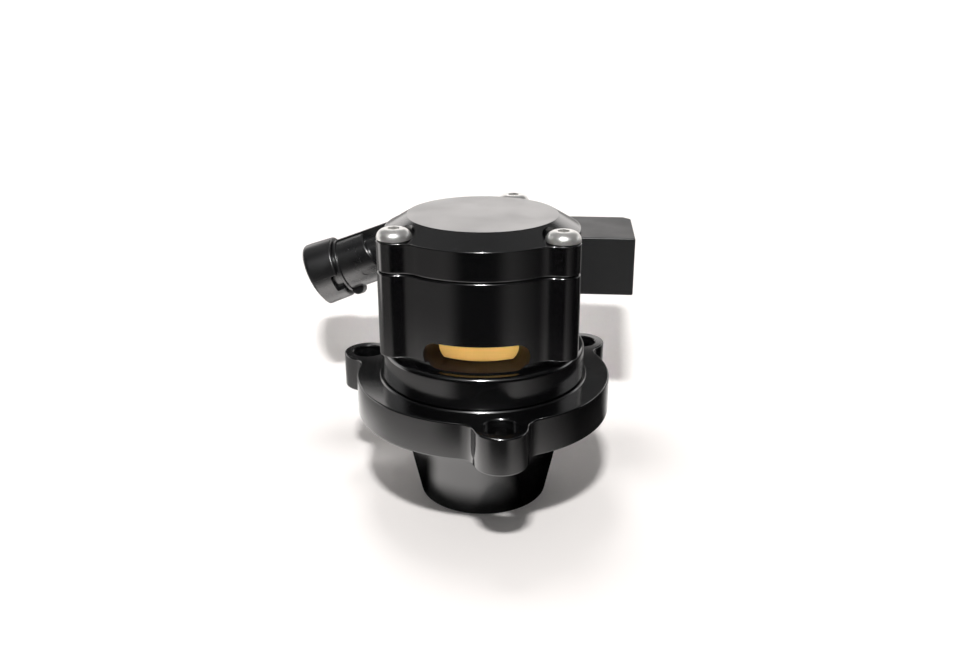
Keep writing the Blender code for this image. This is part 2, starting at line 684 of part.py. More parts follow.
def make_cap(valve, solenoid, black):
    """The cap: lobed rim, cone and flat disc, with a pilot that goes down into the bore."""
    cap = piece("top_cap", lobed_plate(
        BODY_RADIUS, SCREW_ANGLES.values(), SCREW_CIRCLE_RADIUS, LOBE_RADIUS, LOBE_BLEND,
        CAP_BASE, CAP_SHOULDER, (BODY_EDGE, CAP_EDGE)), valve, black)
    middle = CAP_BASE + CAP_RIM_HEIGHT / 2
    join(cap, turned(outline([
        (0, PILOT_END), (CAP_PILOT_RADIUS, PILOT_END, CAP_EDGE), (CAP_PILOT_RADIUS, middle),
        (CAP_CONE_RADIUS, middle),
        (CAP_CONE_RADIUS, CAP_SHOULDER), (CAP_DISC_RADIUS, CAP_TOP, CAP_EDGE), (0, CAP_TOP)])), valve)
    low = PILOT_END - CAP_PILOT_LENGTH
    cut(cap, turned(outline([(0, low), (CAP_RECESS_RADIUS, low),
                             (CAP_RECESS_RADIUS, CAP_CEILING, CAP_RECESS_EDGE), (0, CAP_CEILING)])), valve)
    for angle in SCREW_ANGLES.values():
        place = polar(SCREW_CIRCLE_RADIUS, angle)
        cut(cap, turned([(0, low), (SCREW_RADIUS + SCREW_GAP, low),
                         (SCREW_RADIUS + SCREW_GAP, CAP_SHOULDER), (CAP_POCKET_RADIUS, CAP_SHOULDER),
                         (CAP_POCKET_RADIUS, 2 * CAP_TOP - CAP_SHOULDER),
                         (0, 2 * CAP_TOP - CAP_SHOULDER)], SMALL_SEGMENTS), valve, (place.x, place.y, 0))
    bore_y = BORE_RADIUS - PORT_INSET - SOLENOID_Y
    notch_top = CAP_BASE - SEAT_GAP - SOLENOID_Z
    cut(cap, block((PORT_X - PORT_NOTCH_HALF_WIDTH, bore_y - PORT_NOTCH_HALF_DEPTH, 0),
                   (PORT_X + PORT_NOTCH_HALF_WIDTH, bore_y + PORT_NOTCH_HALF_DEPTH, notch_top)), solenoid)
    return cap


def screw_profile(radius, length, head_radius, head_height, top_radius, rim):
    """A screw seated at height 0: shank down to -length, domed head above."""
    return outline([(0, -length), (radius, -length, SCREW_TIP_CHAMFER), (radius, 0),
                    (head_radius, 0), (head_radius, rim)]) + dome(head_radius, rim, top_radius, head_height)


def dome(radius, low, top_radius, high):
    """A quarter oval from the head's rim to its flat top."""
    points = []
    for i in range(1, DOME_STEPS + 1):
        turn = math.pi / 2 * i / DOME_STEPS
        points.append(Vector((top_radius + (radius - top_radius) * math.cos(turn),
                              low + (high - low) * math.sin(turn))))
    return points + [Vector((0, high))]


def make_cap_screws(valve, steel):
    for place_name, angle in SCREW_ANGLES.items():
        place = polar(SCREW_CIRCLE_RADIUS, angle)
        screw = piece("cap_screw_" + place_name, turned(screw_profile(
            SCREW_RADIUS, SCREW_LENGTH, SCREW_HEAD_RADIUS, SCREW_HEAD_HEIGHT, SCREW_HEAD_TOP_RADIUS,
            SCREW_GAP), SMALL_SEGMENTS), valve, steel, (place.x, place.y, CAP_SHOULDER + SEAT_GAP))
        socket = rod(SCREW_SOCKET_RADIUS, (0, 0, SCREW_HEAD_HEIGHT - SCREW_SOCKET_DEPTH),
                     (0, 0, 2 * SCREW_HEAD_HEIGHT), HEXAGON)
        cut(screw, socket, valve, screw.location)


def make_piston(valve, brass):
    """The brass piston: a cup with its crown down, a groove for its seal near the top."""
    groove_mid = PISTON_HEIGHT - PISTON_SEAL_FROM_TOP
    groove_half = PISTON_SEAL_SECTION + SEAL_GAP
    groove_radius = PISTON_RADIUS - 2 * PISTON_SEAL_SECTION - SEAL_GAP
    dish = PISTON_RADIUS - PISTON_LAND
    piston = piece("piston", turned(outline([
        (0, PISTON_DISH_DEPTH), (dish - PISTON_DISH_DEPTH, PISTON_DISH_DEPTH), (dish, 0),
        (PISTON_RADIUS, 0, PISTON_EDGE),
        (PISTON_RADIUS, groove_mid - groove_half), (groove_radius, groove_mid - groove_half),
        (groove_radius, groove_mid + groove_half), (PISTON_RADIUS, groove_mid + groove_half),
        (PISTON_RADIUS, PISTON_HEIGHT, PISTON_EDGE), (PISTON_INSIDE, PISTON_HEIGHT, PISTON_EDGE),
        (PISTON_INSIDE, PISTON_CROWN, PISTON_EDGE), (0, PISTON_CROWN)])), valve, brass, (0, 0, PISTON_Z))
    cut(piston, rod(PISTON_BLEED_RADIUS, (PISTON_BLEED_OFFSET, 0, -PISTON_CROWN),
                    (PISTON_BLEED_OFFSET, 0, PISTON_HEIGHT), FINE_SEGMENTS), valve, piston.location)
    return piston


def make_valve_seals(valve, rubber, white):
    seal_ring("flange_seal", FLANGE_SEAL_RADIUS, FLANGE_SEAL_SECTION, valve, rubber,
              (0, 0, SPIGOT_HEIGHT + FLANGE_SEAL_SECTION))
    seal_ring("nose_seal", NOSE_RADIUS - NOSE_SEAL_SECTION, NOSE_SEAL_SECTION, valve, rubber,
              (0, 0, RING_BASE - NOSE_SEAL_DROP))
    seal_ring("seat_seal", SEAT_SEAL_RADIUS, SEAT_SEAL_SECTION, valve, white,
              (0, 0, SEAT_Z - SEAT_SEAL_SECTION))
    seal_ring("cap_seal", CAP_SEAL_RADIUS, CAP_SEAL_SECTION, valve, rubber,
              (0, 0, BODY_TOP - CAP_SEAL_SECTION))
    seal_ring("piston_seal", PISTON_RADIUS - PISTON_SEAL_SECTION, PISTON_SEAL_SECTION, valve, rubber,
              (0, 0, PISTON_Z + PISTON_HEIGHT - PISTON_SEAL_FROM_TOP))


def make_main_spring(valve, steel):
    """The spring from the piston's cup to the cap's ceiling."""
    low = PISTON_Z + PISTON_CROWN + SEAT_GAP
    high = CAP_CEILING - SEAT_GAP
    return coil("main_spring", SPRING_RADIUS, SPRING_WIRE, SPRING_TURNS, high - low, valve, steel,
                (0, 0, low))


def make_housing(solenoid, plug, plastic):
    """The solenoid housing: a block bolted to the body's boss, and the plug barrel moulded on it."""
    housing = piece("solenoid_housing", block(
        (HOUSING_LEFT, HOUSING_FRONT, -HOUSING_HALF_HEIGHT),
        (HOUSING_RIGHT, HOUSING_REAR, HOUSING_HALF_HEIGHT), HOUSING_EDGE), solenoid, plastic)
    neck = BARREL_RADIUS - NECK_PLUG_STEP
    barrel = turned(outline([
        (0, BARREL_START), (BARREL_RADIUS, BARREL_START, SEAT_GAP), (BARREL_RADIUS, RIDGE_START),
        (RIDGE_RADIUS, RIDGE_START), (RIDGE_RADIUS, RIDGE_START + RIDGE_WIDTH),
        (BARREL_RADIUS, RIDGE_START + RIDGE_WIDTH), (BARREL_RADIUS, BARREL_END, BARREL_EDGE),
        (neck, BARREL_END), (neck, NECK_PLUG_END), (0, NECK_PLUG_END)]), MIDDLE_SEGMENTS)
    slant(barrel, BARREL_END - BARREL_EDGE, BARREL_END, BARREL_SLANT)
    join(housing, barrel, plug)
    join(housing, block((-BARREL_RADIUS - RIB_RISE, -RIB_HALF_WIDTH, RIDGE_START + SEAT_GAP),
                        (-RIB_ROOT_DEPTH, RIB_HALF_WIDTH, NECK_PLUG_END)), plug)
    latch_x = BARREL_RADIUS + LATCH_OUTSET
    latch_z = RIDGE_START + RIDGE_WIDTH / 2 + LATCH_RADIUS
    join(housing, rod(LATCH_RADIUS, (latch_x, -LATCH_HALF_WIDTH, latch_z),
                      (latch_x, LATCH_HALF_WIDTH, latch_z)), plug, rotation=(0, 0, LATCH_ANGLE))
    cut_housing(housing, solenoid, plug)
    return housing


def slant(bm, low, high, angle):
    """Tilt the part of a turned piece between two heights: its far side rises, its near side sinks."""
    for vert in bm.verts:
        if low - SEAT_GAP / 2 < vert.co.z < high + SEAT_GAP / 2:
            vert.co.z += vert.co.x * math.tan(angle)


def cut_housing(housing, solenoid, plug):
    """The ways through the housing: core bore, nozzle, port, vent, screw holes and pin pockets."""
    bore = TUBE_RADIUS + SEAT_GAP
    shelf = HOUSING_RIGHT - TUBE_FLANGE_THICKNESS - 2 * TUBE_SEAL_SECTION - 4 * SEAT_GAP
    wide = TUBE_FLANGE_RADIUS + 2 * SEAT_GAP
    right = CASE_RIGHT
    cut(housing, turned([(NOZZLE_TIP_RADIUS, CHAMBER_FLOOR), (bore, CHAMBER_FLOOR), (bore, shelf),
                         (wide, shelf), (wide, right), (0, right), (0, NOZZLE_END),
                         (NOZZLE_TIP_RADIUS, NOZZLE_END)][::-1], SMALL_SEGMENTS), solenoid, rotation=ALONG_X)
    cut(housing, rod(NOZZLE_RADIUS, (PORT_X, 0, 0), (NOZZLE_END + bore, 0, 0), FINE_SEGMENTS), solenoid)
    cut(housing, rod(PORT_RADIUS, (PORT_X, HOUSING_FRONT - BOSS_LENGTH, 0), (PORT_X, PORT_RADIUS, 0),
                     FINE_SEGMENTS), solenoid)
    cut(housing, ring_groove(PORT_SEAL_RADIUS, PORT_SEAL_SECTION, 2 * PORT_SEAL_SECTION + SEAL_GAP),
        solenoid, (PORT_X, HOUSING_FRONT, 0), (math.pi / 2, 0, 0))
    vent_x = NOZZLE_END + VENT_RADIUS
    cut(housing, rod(VENT_RADIUS, (vent_x, 0, -2 * HOUSING_HALF_HEIGHT), (vent_x, 0, -bore / 2),
                     FINE_SEGMENTS), solenoid)
    for side in (-1, 1):
        x = PORT_X + side * MOUNT_SCREW_SPREAD
        cut(housing, rod(MOUNT_SCREW_RADIUS + SCREW_GAP, (x, HOUSING_FRONT * 2, MOUNT_SCREW_RISE),
                         (x, HOUSING_REAR * 2, MOUNT_SCREW_RISE)), solenoid)
    cut(housing, rod(BARREL_CAVITY_RADIUS, (0, 0, 0), (0, 0, BARREL_FLOOR), MIDDLE_SEGMENTS), plug)
    for side in (-1, 1):
        y = side * PIN_SPREAD
        half_thick = PIN_THICKNESS / 2 + SEAT_GAP
        half_wide = PIN_WIDTH / 2 + SEAT_GAP
        cut(housing, block((-half_wide, y - half_thick, BARREL_START),
                           (half_wide, y + half_thick, PIN_ROOT + SEAT_GAP)), plug)


def make_mount_screws(solenoid, steel):
    """Two long screws that hold the housing to the boss, with their heads at the back."""
    length = HOUSING_REAR - HOUSING_FRONT + 2 * SEAT_GAP + MOUNT_SCREW_GRIP
    for name, side in (("left", -1), ("right", 1)):
        x = PORT_X + side * MOUNT_SCREW_SPREAD
        height = MOUNT_SCREW_HEAD_HEIGHT
        profile = outline([(0, -length), (MOUNT_SCREW_RADIUS, -length, SCREW_GAP), (MOUNT_SCREW_RADIUS, 0),
                           (MOUNT_SCREW_HEAD_RADIUS, 0), (MOUNT_SCREW_HEAD_RADIUS, height, SCREW_GAP),
                           (0, height)])
        place = (x, HOUSING_REAR + SEAT_GAP, MOUNT_SCREW_RISE)
        turn = (-math.pi / 2, 0, 0)
        screw = piece("solenoid_screw_" + name, turned(profile, SMALL_SEGMENTS), solenoid, steel, place, turn)
        socket = rod(MOUNT_SOCKET_RADIUS, (0, 0, height - MOUNT_SOCKET_DEPTH), (0, 0, 2 * height), HEXAGON)
        cut(screw, socket, solenoid, place, turn)


def make_core(solenoid, steel, rubber):
    """The core tube and its seal, and the pole piece fixed in the tube's far end."""
    inside = TUBE_RADIUS - TUBE_WALL
    flange_right = HOUSING_RIGHT - SEAT_GAP
    flange_left = flange_right - TUBE_FLANGE_THICKNESS
    piece("core_tube", turned([
        (inside, TUBE_LEFT), (TUBE_RADIUS, TUBE_LEFT), (TUBE_RADIUS, flange_left),
        (TUBE_FLANGE_RADIUS, flange_left), (TUBE_FLANGE_RADIUS, flange_right), (TUBE_RADIUS, flange_right),
        (TUBE_RADIUS, TUBE_RIGHT), (inside, TUBE_RIGHT)], SMALL_SEGMENTS), solenoid, steel, rotation=ALONG_X)
    seal_x = flange_left - SEAT_GAP - TUBE_SEAL_SECTION
    seal_ring("core_tube_seal", TUBE_RADIUS + 2 * SEAL_GAP + TUBE_SEAL_SECTION, TUBE_SEAL_SECTION,
              solenoid, rubber, (seal_x, 0, 0), ALONG_X, SMALL_SEGMENTS)
    pole = rod(inside - SEAT_GAP, (POLE_LEFT, 0, 0), (TUBE_RIGHT, 0, 0))
    piece("pole_piece", pole, solenoid, steel)


def make_plunger(solenoid, steel, rubber):
    """The plunger with its rubber pad, and the spring that presses the pad on the nozzle."""
    radius = TUBE_RADIUS - TUBE_WALL - SEAT_GAP
    pad_hole = PLUNGER_PAD_RADIUS + SEAT_GAP
    pad_floor = PLUNGER_PAD_THICKNESS
    spring_hole = PLUNGER_SPRING_RADIUS + PLUNGER_SPRING_WIRE + 2 * SEAT_GAP
    spring_floor = PLUNGER_LENGTH - PLUNGER_SPRING_DEPTH
    piece("plunger", turned([
        (0, pad_floor), (pad_hole, pad_floor), (pad_hole, 0), (radius, 0), (radius, PLUNGER_LENGTH),
        (spring_hole, PLUNGER_LENGTH), (spring_hole, spring_floor), (0, spring_floor)], SMALL_SEGMENTS),
        solenoid, steel, (PLUNGER_START, 0, 0), ALONG_X)
    piece("plunger_pad", turned([
        (0, -SEAT_GAP), (PLUNGER_PAD_RADIUS, -SEAT_GAP), (PLUNGER_PAD_RADIUS, pad_floor - SEAT_GAP),
        (0, pad_floor - SEAT_GAP)], SMALL_SEGMENTS), solenoid, rubber, (PLUNGER_START, 0, 0), ALONG_X)
    low = PLUNGER_START + spring_floor + SEAT_GAP
    coil("plunger_spring", PLUNGER_SPRING_RADIUS, PLUNGER_SPRING_WIRE, PLUNGER_SPRING_TURNS,
         POLE_LEFT - SEAT_GAP - low, solenoid, steel, (low, 0, 0), ALONG_X, SMALL_SPRING_STEPS,
         SMALL_SPRING_SIDES)


def make_coil(solenoid, case_plastic, bobbin_plastic, copper):
    """The coil case, the bobbin on the core tube and the winding on the bobbin."""
    left = HOUSING_RIGHT + SEAT_GAP
    case = piece("coil_case", block((left, -CASE_HALF_DEPTH, -CASE_HALF_HEIGHT),
                                    (CASE_RIGHT, CASE_HALF_DEPTH, CASE_HALF_HEIGHT), CASE_EDGE),
                 solenoid, case_plastic)
    corner = CASE_CORNER * math.sqrt(2)
    cut(case, block((-corner / 2, -corner * 2, -CASE_HALF_DEPTH), (corner * 2, corner * 2, CASE_HALF_DEPTH)),
        solenoid, (CASE_RIGHT - CASE_CORNER / 4, CASE_HALF_DEPTH - CASE_CORNER / 4, 0), (0, 0, math.pi / 4))
    cut(case, rod(CASE_CAVITY_RADIUS, (0, 0, 0), (CASE_CAVITY_END, 0, 0), MIDDLE_SEGMENTS), solenoid)
    hollow = TUBE_RADIUS + SEAT_GAP
    core = hollow + BOBBIN_WALL
    rim = CASE_CAVITY_RADIUS - SEAT_GAP
    first = left + SEAT_GAP
    last = CASE_CAVITY_END - SEAT_GAP
    piece("coil_bobbin", turned([
        (hollow, first), (rim, first), (rim, first + BOBBIN_FLANGE), (core, first + BOBBIN_FLANGE),
        (core, last - BOBBIN_FLANGE), (rim, last - BOBBIN_FLANGE), (rim, last), (hollow, last)],
        MIDDLE_SEGMENTS), solenoid, bobbin_plastic, rotation=ALONG_X)
    wound_in = core + SEAT_GAP
    wound_out = rim - WINDING_BELOW_FLANGE
    wound_low = first + BOBBIN_FLANGE + SEAT_GAP
    wound_high = last - BOBBIN_FLANGE - SEAT_GAP
    piece("coil_winding", turned([
        (wound_in, wound_low), (wound_out, wound_low), (wound_out, wound_high), (wound_in, wound_high)],
        MIDDLE_SEGMENTS), solenoid, copper, rotation=ALONG_X)


def make_plug(plug, shell_plastic, rubber, tin):
    """The plug shell on the barrel, its seal and the two terminal pins."""
    collar = turned(outline([
        (SHELL_INSIDE, 0), (SHELL_RADIUS, 0, SHELL_FILLET, FILLET_STEPS),
        (SHELL_REAR_RADIUS, SHELL_LENGTH, SHELL_REAR_FILLET), (SHELL_INSIDE, SHELL_LENGTH)]), MIDDLE_SEGMENTS)
    slant(collar, 0, SHELL_FILLET, SHELL_SLANT)
    shell = piece("connector_shell", collar, plug, shell_plastic)
    cut(shell, block((SHELL_INSIDE / 2, -NOTCH_HALF_WIDTH, SHELL_LENGTH - NOTCH_DEPTH),
                     (2 * SHELL_RADIUS, NOTCH_HALF_WIDTH, 2 * SHELL_LENGTH)), plug,
        rotation=(0, 0, NOTCH_ANGLE))
    seal_top = BARREL_START - SEAT_GAP
    seal_in = BARREL_CAVITY_RADIUS + SEAT_GAP
    piece("connector_seal", turned([
        (seal_in, seal_top - PLUG_SEAL_WIDTH), (BARREL_RADIUS, seal_top - PLUG_SEAL_WIDTH),
        (BARREL_RADIUS, seal_top), (seal_in, seal_top)], MIDDLE_SEGMENTS), plug, rubber)
    for name, side in (("front", -1), ("rear", 1)):
        y = side * PIN_SPREAD
        half_wide = PIN_WIDTH / 2
        half_thick = PIN_THICKNESS / 2
        loops = []
        for height, share in ((PIN_TIP, PIN_TIP_SHARE), (PIN_TIP + PIN_WIDTH / 2, 1), (PIN_ROOT, 1)):
            wide = half_wide * share
            thick = half_thick * share
            loops.append([(-wide, y - thick, height), (wide, y - thick, height),
                          (wide, y + thick, height), (-wide, y + thick, height)])
        piece("terminal_pin_" + name, loft(loops), plug, tin)


def build():
    clear_scene()
    black = finish("black_anodised_aluminium", (0.012, 0.012, 0.014), 0.28, 1.0)
    stainless = finish("stainless_steel", (0.62, 0.61, 0.59), 0.25, 1.0)
    brass = finish("brass", (0.75, 0.52, 0.20), 0.25, 1.0)
    rubber = finish("black_rubber", (0.02, 0.02, 0.02), 0.75, 0.0)
    white = finish("seat_polymer", (0.80, 0.79, 0.74), 0.45, 0.0)
    plastic = finish("housing_plastic", (0.025, 0.025, 0.028), 0.42, 0.0)
    case_plastic = finish("case_plastic", (0.055, 0.057, 0.060), 0.75, 0.0)
    bobbin_plastic = finish("bobbin_plastic", (0.65, 0.62, 0.52), 0.50, 0.0)
    copper = finish("enamelled_copper", (0.55, 0.22, 0.10), 0.35, 1.0)
    tin = finish("tinned_brass", (0.70, 0.69, 0.66), 0.30, 1.0)

    valve = empty("valve_axis", location=(VALVE_X, VALVE_Y, 0))
    solenoid = empty("solenoid_axis", valve, (0, SOLENOID_Y, SOLENOID_Z), (0, 0, SOLENOID_YAW))
    plug = empty("plug_axis", solenoid, (PLUG_X, 0, PLUG_Z), (0, math.pi / 2 - PLUG_TILT, 0))

    make_flange(valve, black)
    make_body(valve, solenoid, black)
    make_retaining_ring(valve, stainless)
    make_cap(valve, solenoid, black)
    make_cap_screws(valve, stainless)
    make_piston(valve, brass)
    make_valve_seals(valve, rubber, white)
    make_main_spring(valve, stainless)
    make_housing(solenoid, plug, plastic)
    make_mount_screws(solenoid, stainless)
    seal_ring("port_seal", PORT_SEAL_RADIUS, PORT_SEAL_SECTION, solenoid, rubber,
              (PORT_X, HOUSING_FRONT + PORT_SEAL_SECTION, 0), (math.pi / 2, 0, 0), SMALL_SEGMENTS)
    make_core(solenoid, stainless, rubber)
    make_plunger(solenoid, stainless, rubber)
    make_coil(solenoid, case_plastic, bobbin_plastic, copper)
    make_plug(plug, plastic, rubber, tin)


build()
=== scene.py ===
"""A black anodised blow off valve on a white studio floor.

The valve stands on the end of its spigot. The sections follow the object as it is put together:
flange, body, piston, cap, cap screws, solenoid housing, plug, coil case and the small inner pieces,
and then the studio with its lights and camera. Lengths are in metres.
"""
import math

import bpy
from mathutils import Matrix, Vector


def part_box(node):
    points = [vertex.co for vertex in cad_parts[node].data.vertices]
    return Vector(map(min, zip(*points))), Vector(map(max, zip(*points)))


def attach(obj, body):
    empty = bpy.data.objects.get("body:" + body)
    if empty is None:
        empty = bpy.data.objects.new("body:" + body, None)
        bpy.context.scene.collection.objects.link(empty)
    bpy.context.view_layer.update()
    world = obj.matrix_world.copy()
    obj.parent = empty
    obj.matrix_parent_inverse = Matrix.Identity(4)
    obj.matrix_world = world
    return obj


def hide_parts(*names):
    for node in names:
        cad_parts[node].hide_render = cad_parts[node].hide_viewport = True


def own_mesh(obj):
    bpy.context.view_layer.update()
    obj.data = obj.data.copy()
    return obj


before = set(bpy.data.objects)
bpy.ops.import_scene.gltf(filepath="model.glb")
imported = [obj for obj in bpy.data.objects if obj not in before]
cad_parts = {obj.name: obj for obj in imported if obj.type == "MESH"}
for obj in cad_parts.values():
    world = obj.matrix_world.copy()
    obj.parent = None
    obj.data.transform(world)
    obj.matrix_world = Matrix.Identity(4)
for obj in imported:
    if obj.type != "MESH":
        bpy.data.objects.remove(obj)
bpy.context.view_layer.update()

# Mounting flange. One piece of aluminium billet: a plate with three lugs, and a hollow tapered spigot
# under it. It is turned and milled, its edges are broken, and it is hard anodised black.
piston_low, piston_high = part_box("piston")
AXIS = Vector(((piston_low.x + piston_high.x) / 2, (piston_low.y + piston_high.y) / 2, 0))
SIDES = 216
SPIGOT_HEIGHT = 0.0270
SPIGOT_TIP_RADIUS = 0.0187
SPIGOT_TAPER = math.tan(math.radians(12.4))
SPIGOT_WALL = 0.0021
FLANGE_RADIUS = 0.03675
FLANGE_TOP = 0.0376
WEB_UNDERSIDE = 0.0316
NOSE_BORE = 0.0205
CHAMBER_RADIUS = 0.0229
CHAMBER_BASE = 0.0276
FLANGE_EDGE = 0.00045
LIP_RADIUS = 0.0302
LIP_INSIDE = 0.0290
LIP_RISE = 0.0003
LUG_ANGLES = [math.radians(-82.8 + 120 * turn) for turn in range(3)]
LUG_CIRCLE = 0.0384
LUG_RADIUS = 0.0073
LUG_BLEND = 0.0050
LUG_HOLE = 0.0033
LUG_SEAT = 0.0046
LUG_SEAT_HEIGHT = 0.0360
SEAL_GROOVE_IN = 0.02814
SEAL_GROOVE_OUT = 0.03054
SEAL_GROOVE_TOP = 0.0291
HOLE_CHAMFER = 0.0003
CUT_PAST = 0.001
CHAMFER_FLARE = CUT_PAST + HOLE_CHAMFER
ANODISED_BLACK = (0.0015, 0.0015, 0.0017)


def deselect():
    if bpy.context.object and bpy.context.object.mode != "OBJECT":
        bpy.ops.object.mode_set(mode="OBJECT")
    bpy.ops.object.select_all(action="DESELECT")


def polar(radius, angle):
    return Vector((radius * math.cos(angle), radius * math.sin(angle)))


def arc(centre, radius, start, sweep, steps):
    return [Vector(centre) + polar(radius, start + sweep * i / steps) for i in range(steps + 1)]


def rounded(corners, steps=4):
    """An outline from corners (a, b), or (a, b, radius) where the corner is rounded."""
    points = []
    for i, corner in enumerate(corners):
        here = Vector(corner[:2])
        if len(corner) == 2:
            points.append(here)
            continue
        back = (Vector(corners[i - 1][:2]) - here).normalized()
        ahead = (Vector(corners[(i + 1) % len(corners)][:2]) - here).normalized()
        half = back.angle(ahead) / 2
        centre = here + (back + ahead).normalized() * corner[2] / math.sin(half)
        first = here + back * corner[2] / math.tan(half) - centre
        last = here + ahead * corner[2] / math.tan(half) - centre
        sweep = math.atan2(first.x * last.y - first.y * last.x, first.dot(last))
        points += arc(centre, corner[2], math.atan2(first.y, first.x), sweep, steps)
    return points


def lathe(name, profile, sides=SIDES):
    """Turn an outline of (radius, height) points: a circle is pulled up from point to point.

    An outline that starts and ends on the axis gives a solid, and any other is closed to a ring.
    """
    solid = profile[0][0] == 0
    path = profile[1:-1] if solid else list(profile) + [profile[0]]
    deselect()
    bpy.ops.mesh.primitive_circle_add(vertices=sides, radius=path[0][0], location=(0, 0, path[0][1]),
                                      fill_type="NGON" if solid else "NOTHING")
    piece = bpy.context.object
    piece.name = name
    bpy.ops.object.mode_set(mode="EDIT")
    bpy.ops.mesh.select_all(action="SELECT")
    for (radius, height), (next_radius, next_height) in zip(path, path[1:]):
        bpy.ops.mesh.extrude_region_move(TRANSFORM_OT_translate={"value": (0, 0, next_height - height)})
        scale = next_radius / radius
        bpy.ops.transform.resize(value=(scale, scale, 1), center_override=(0, 0, next_height))
    bpy.ops.mesh.select_all(action="SELECT")
    bpy.ops.mesh.remove_doubles(threshold=0.000001)
    bpy.ops.mesh.normals_make_consistent(inside=False)
    bpy.ops.object.mode_set(mode="OBJECT")
    bpy.ops.object.transform_apply(location=True, rotation=True, scale=True)
    return piece


def put(piece, place):
    """Move a piece's mesh to its place and leave the object at the origin."""
    piece.data.transform(place if isinstance(place, Matrix) else Matrix.Translation(place))
    return piece


def carve(piece, tool, operation="DIFFERENCE"):
    """Cut a tool out of a piece, or join it on, and throw the tool away."""
    step = piece.modifiers.new("Shape", "BOOLEAN")
    step.operation = operation
    step.solver = "MANIFOLD"
    step.object = tool
    deselect()
    bpy.context.view_layer.objects.active = piece
    bpy.ops.object.modifier_apply(modifier=step.name)
    bpy.data.objects.remove(tool)


def lobed_plate(name, radius, lobe_angles, lobe_circle, lobe_radius, blend, low, high, edges):
    """A round plate with lobes: a circle is drawn to the outline, pulled up, and its rims are bevelled."""
    reach = radius + blend
    spread = math.acos((reach ** 2 + lobe_circle ** 2 - (lobe_radius + blend) ** 2)
                       / (2 * lobe_circle * reach))
    angles = sorted(lobe_angles)
    points = []
    for i, angle in enumerate(angles):
        lobe = polar(lobe_circle, angle)
        before = polar(reach, angle - spread)
        toward_lobe = math.atan2(*(lobe - before).yx)
        toward_axis = angle - spread + math.pi
        hollow = (toward_lobe - toward_axis + math.pi) % (2 * math.pi) - math.pi
        points += arc(before, blend, toward_axis, hollow, 10)[:-1]
        start = toward_lobe + math.pi
        round_sweep = 2 * ((angle - start) % (2 * math.pi))
        points += arc(lobe, lobe_radius, start, round_sweep, 30)
        points += arc(polar(reach, angle + spread), blend, start + round_sweep + math.pi, hollow, 10)[1:]
        plain_sweep = (angles[(i + 1) % len(angles)] - angle) % (2 * math.pi) - 2 * spread
        plain_steps = round(math.degrees(plain_sweep) / 1.8)
        points += arc((0, 0), radius, angle + spread, plain_sweep, plain_steps)[1:-1]
    deselect()
    bpy.ops.mesh.primitive_circle_add(vertices=len(points), radius=radius, location=(0, 0, low),
                                      fill_type="NGON")
    piece = bpy.context.object
    piece.name = name
    for vert, point in zip(piece.data.vertices, points):
        vert.co.xy = point
    bpy.ops.object.mode_set(mode="EDIT")
    bpy.ops.mesh.select_all(action="SELECT")
    bpy.ops.mesh.extrude_region_move(TRANSFORM_OT_translate={"value": (0, 0, high - low)})
    bpy.ops.mesh.select_all(action="SELECT")
    bpy.ops.mesh.normals_make_consistent(inside=False)
    bpy.ops.object.mode_set(mode="OBJECT")
    bpy.ops.object.transform_apply(location=True, rotation=True, scale=True)
    for height, edge in zip((low, high), edges):
        bevel(piece, edge, lambda a, b: abs(a.z - height) < 1e-6 and abs(b.z - height) < 1e-6)
    return piece


def bevel(piece, width, wanted, segments=3):
    """Bevel the edges whose two ends the test wants."""
    deselect()
    bpy.context.view_layer.objects.active = piece
    piece.select_set(True)
    bpy.ops.object.mode_set(mode="EDIT")
    bpy.ops.mesh.select_mode(type="EDGE")
    bpy.ops.mesh.select_all(action="DESELECT")
    bpy.ops.object.mode_set(mode="OBJECT")
    verts = piece.data.vertices
    for edge in piece.data.edges:
        edge.select = wanted(verts[edge.vertices[0]].co, verts[edge.vertices[1]].co)
    bpy.ops.object.mode_set(mode="EDIT")
    bpy.ops.mesh.bevel(offset=width, segments=segments, affect="EDGES")
    bpy.ops.object.mode_set(mode="OBJECT")


def complete(piece, material, slot, body, *nodes):
    """Smooth a finished mesh, give it its material and tie it to the frame."""
    deselect()
    bpy.context.view_layer.objects.active = piece
    piece.select_set(True)
    bpy.ops.object.shade_smooth_by_angle(angle=math.radians(35))
    step = piece.modifiers.new("Normals", "WEIGHTED_NORMAL")
    step.keep_sharp = True
    bpy.ops.object.modifier_apply(modifier=step.name)
    piece.data.materials.clear()
    piece.data.materials.append(material)
    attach(piece, body)
    if nodes:
        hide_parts(*nodes)
    return piece


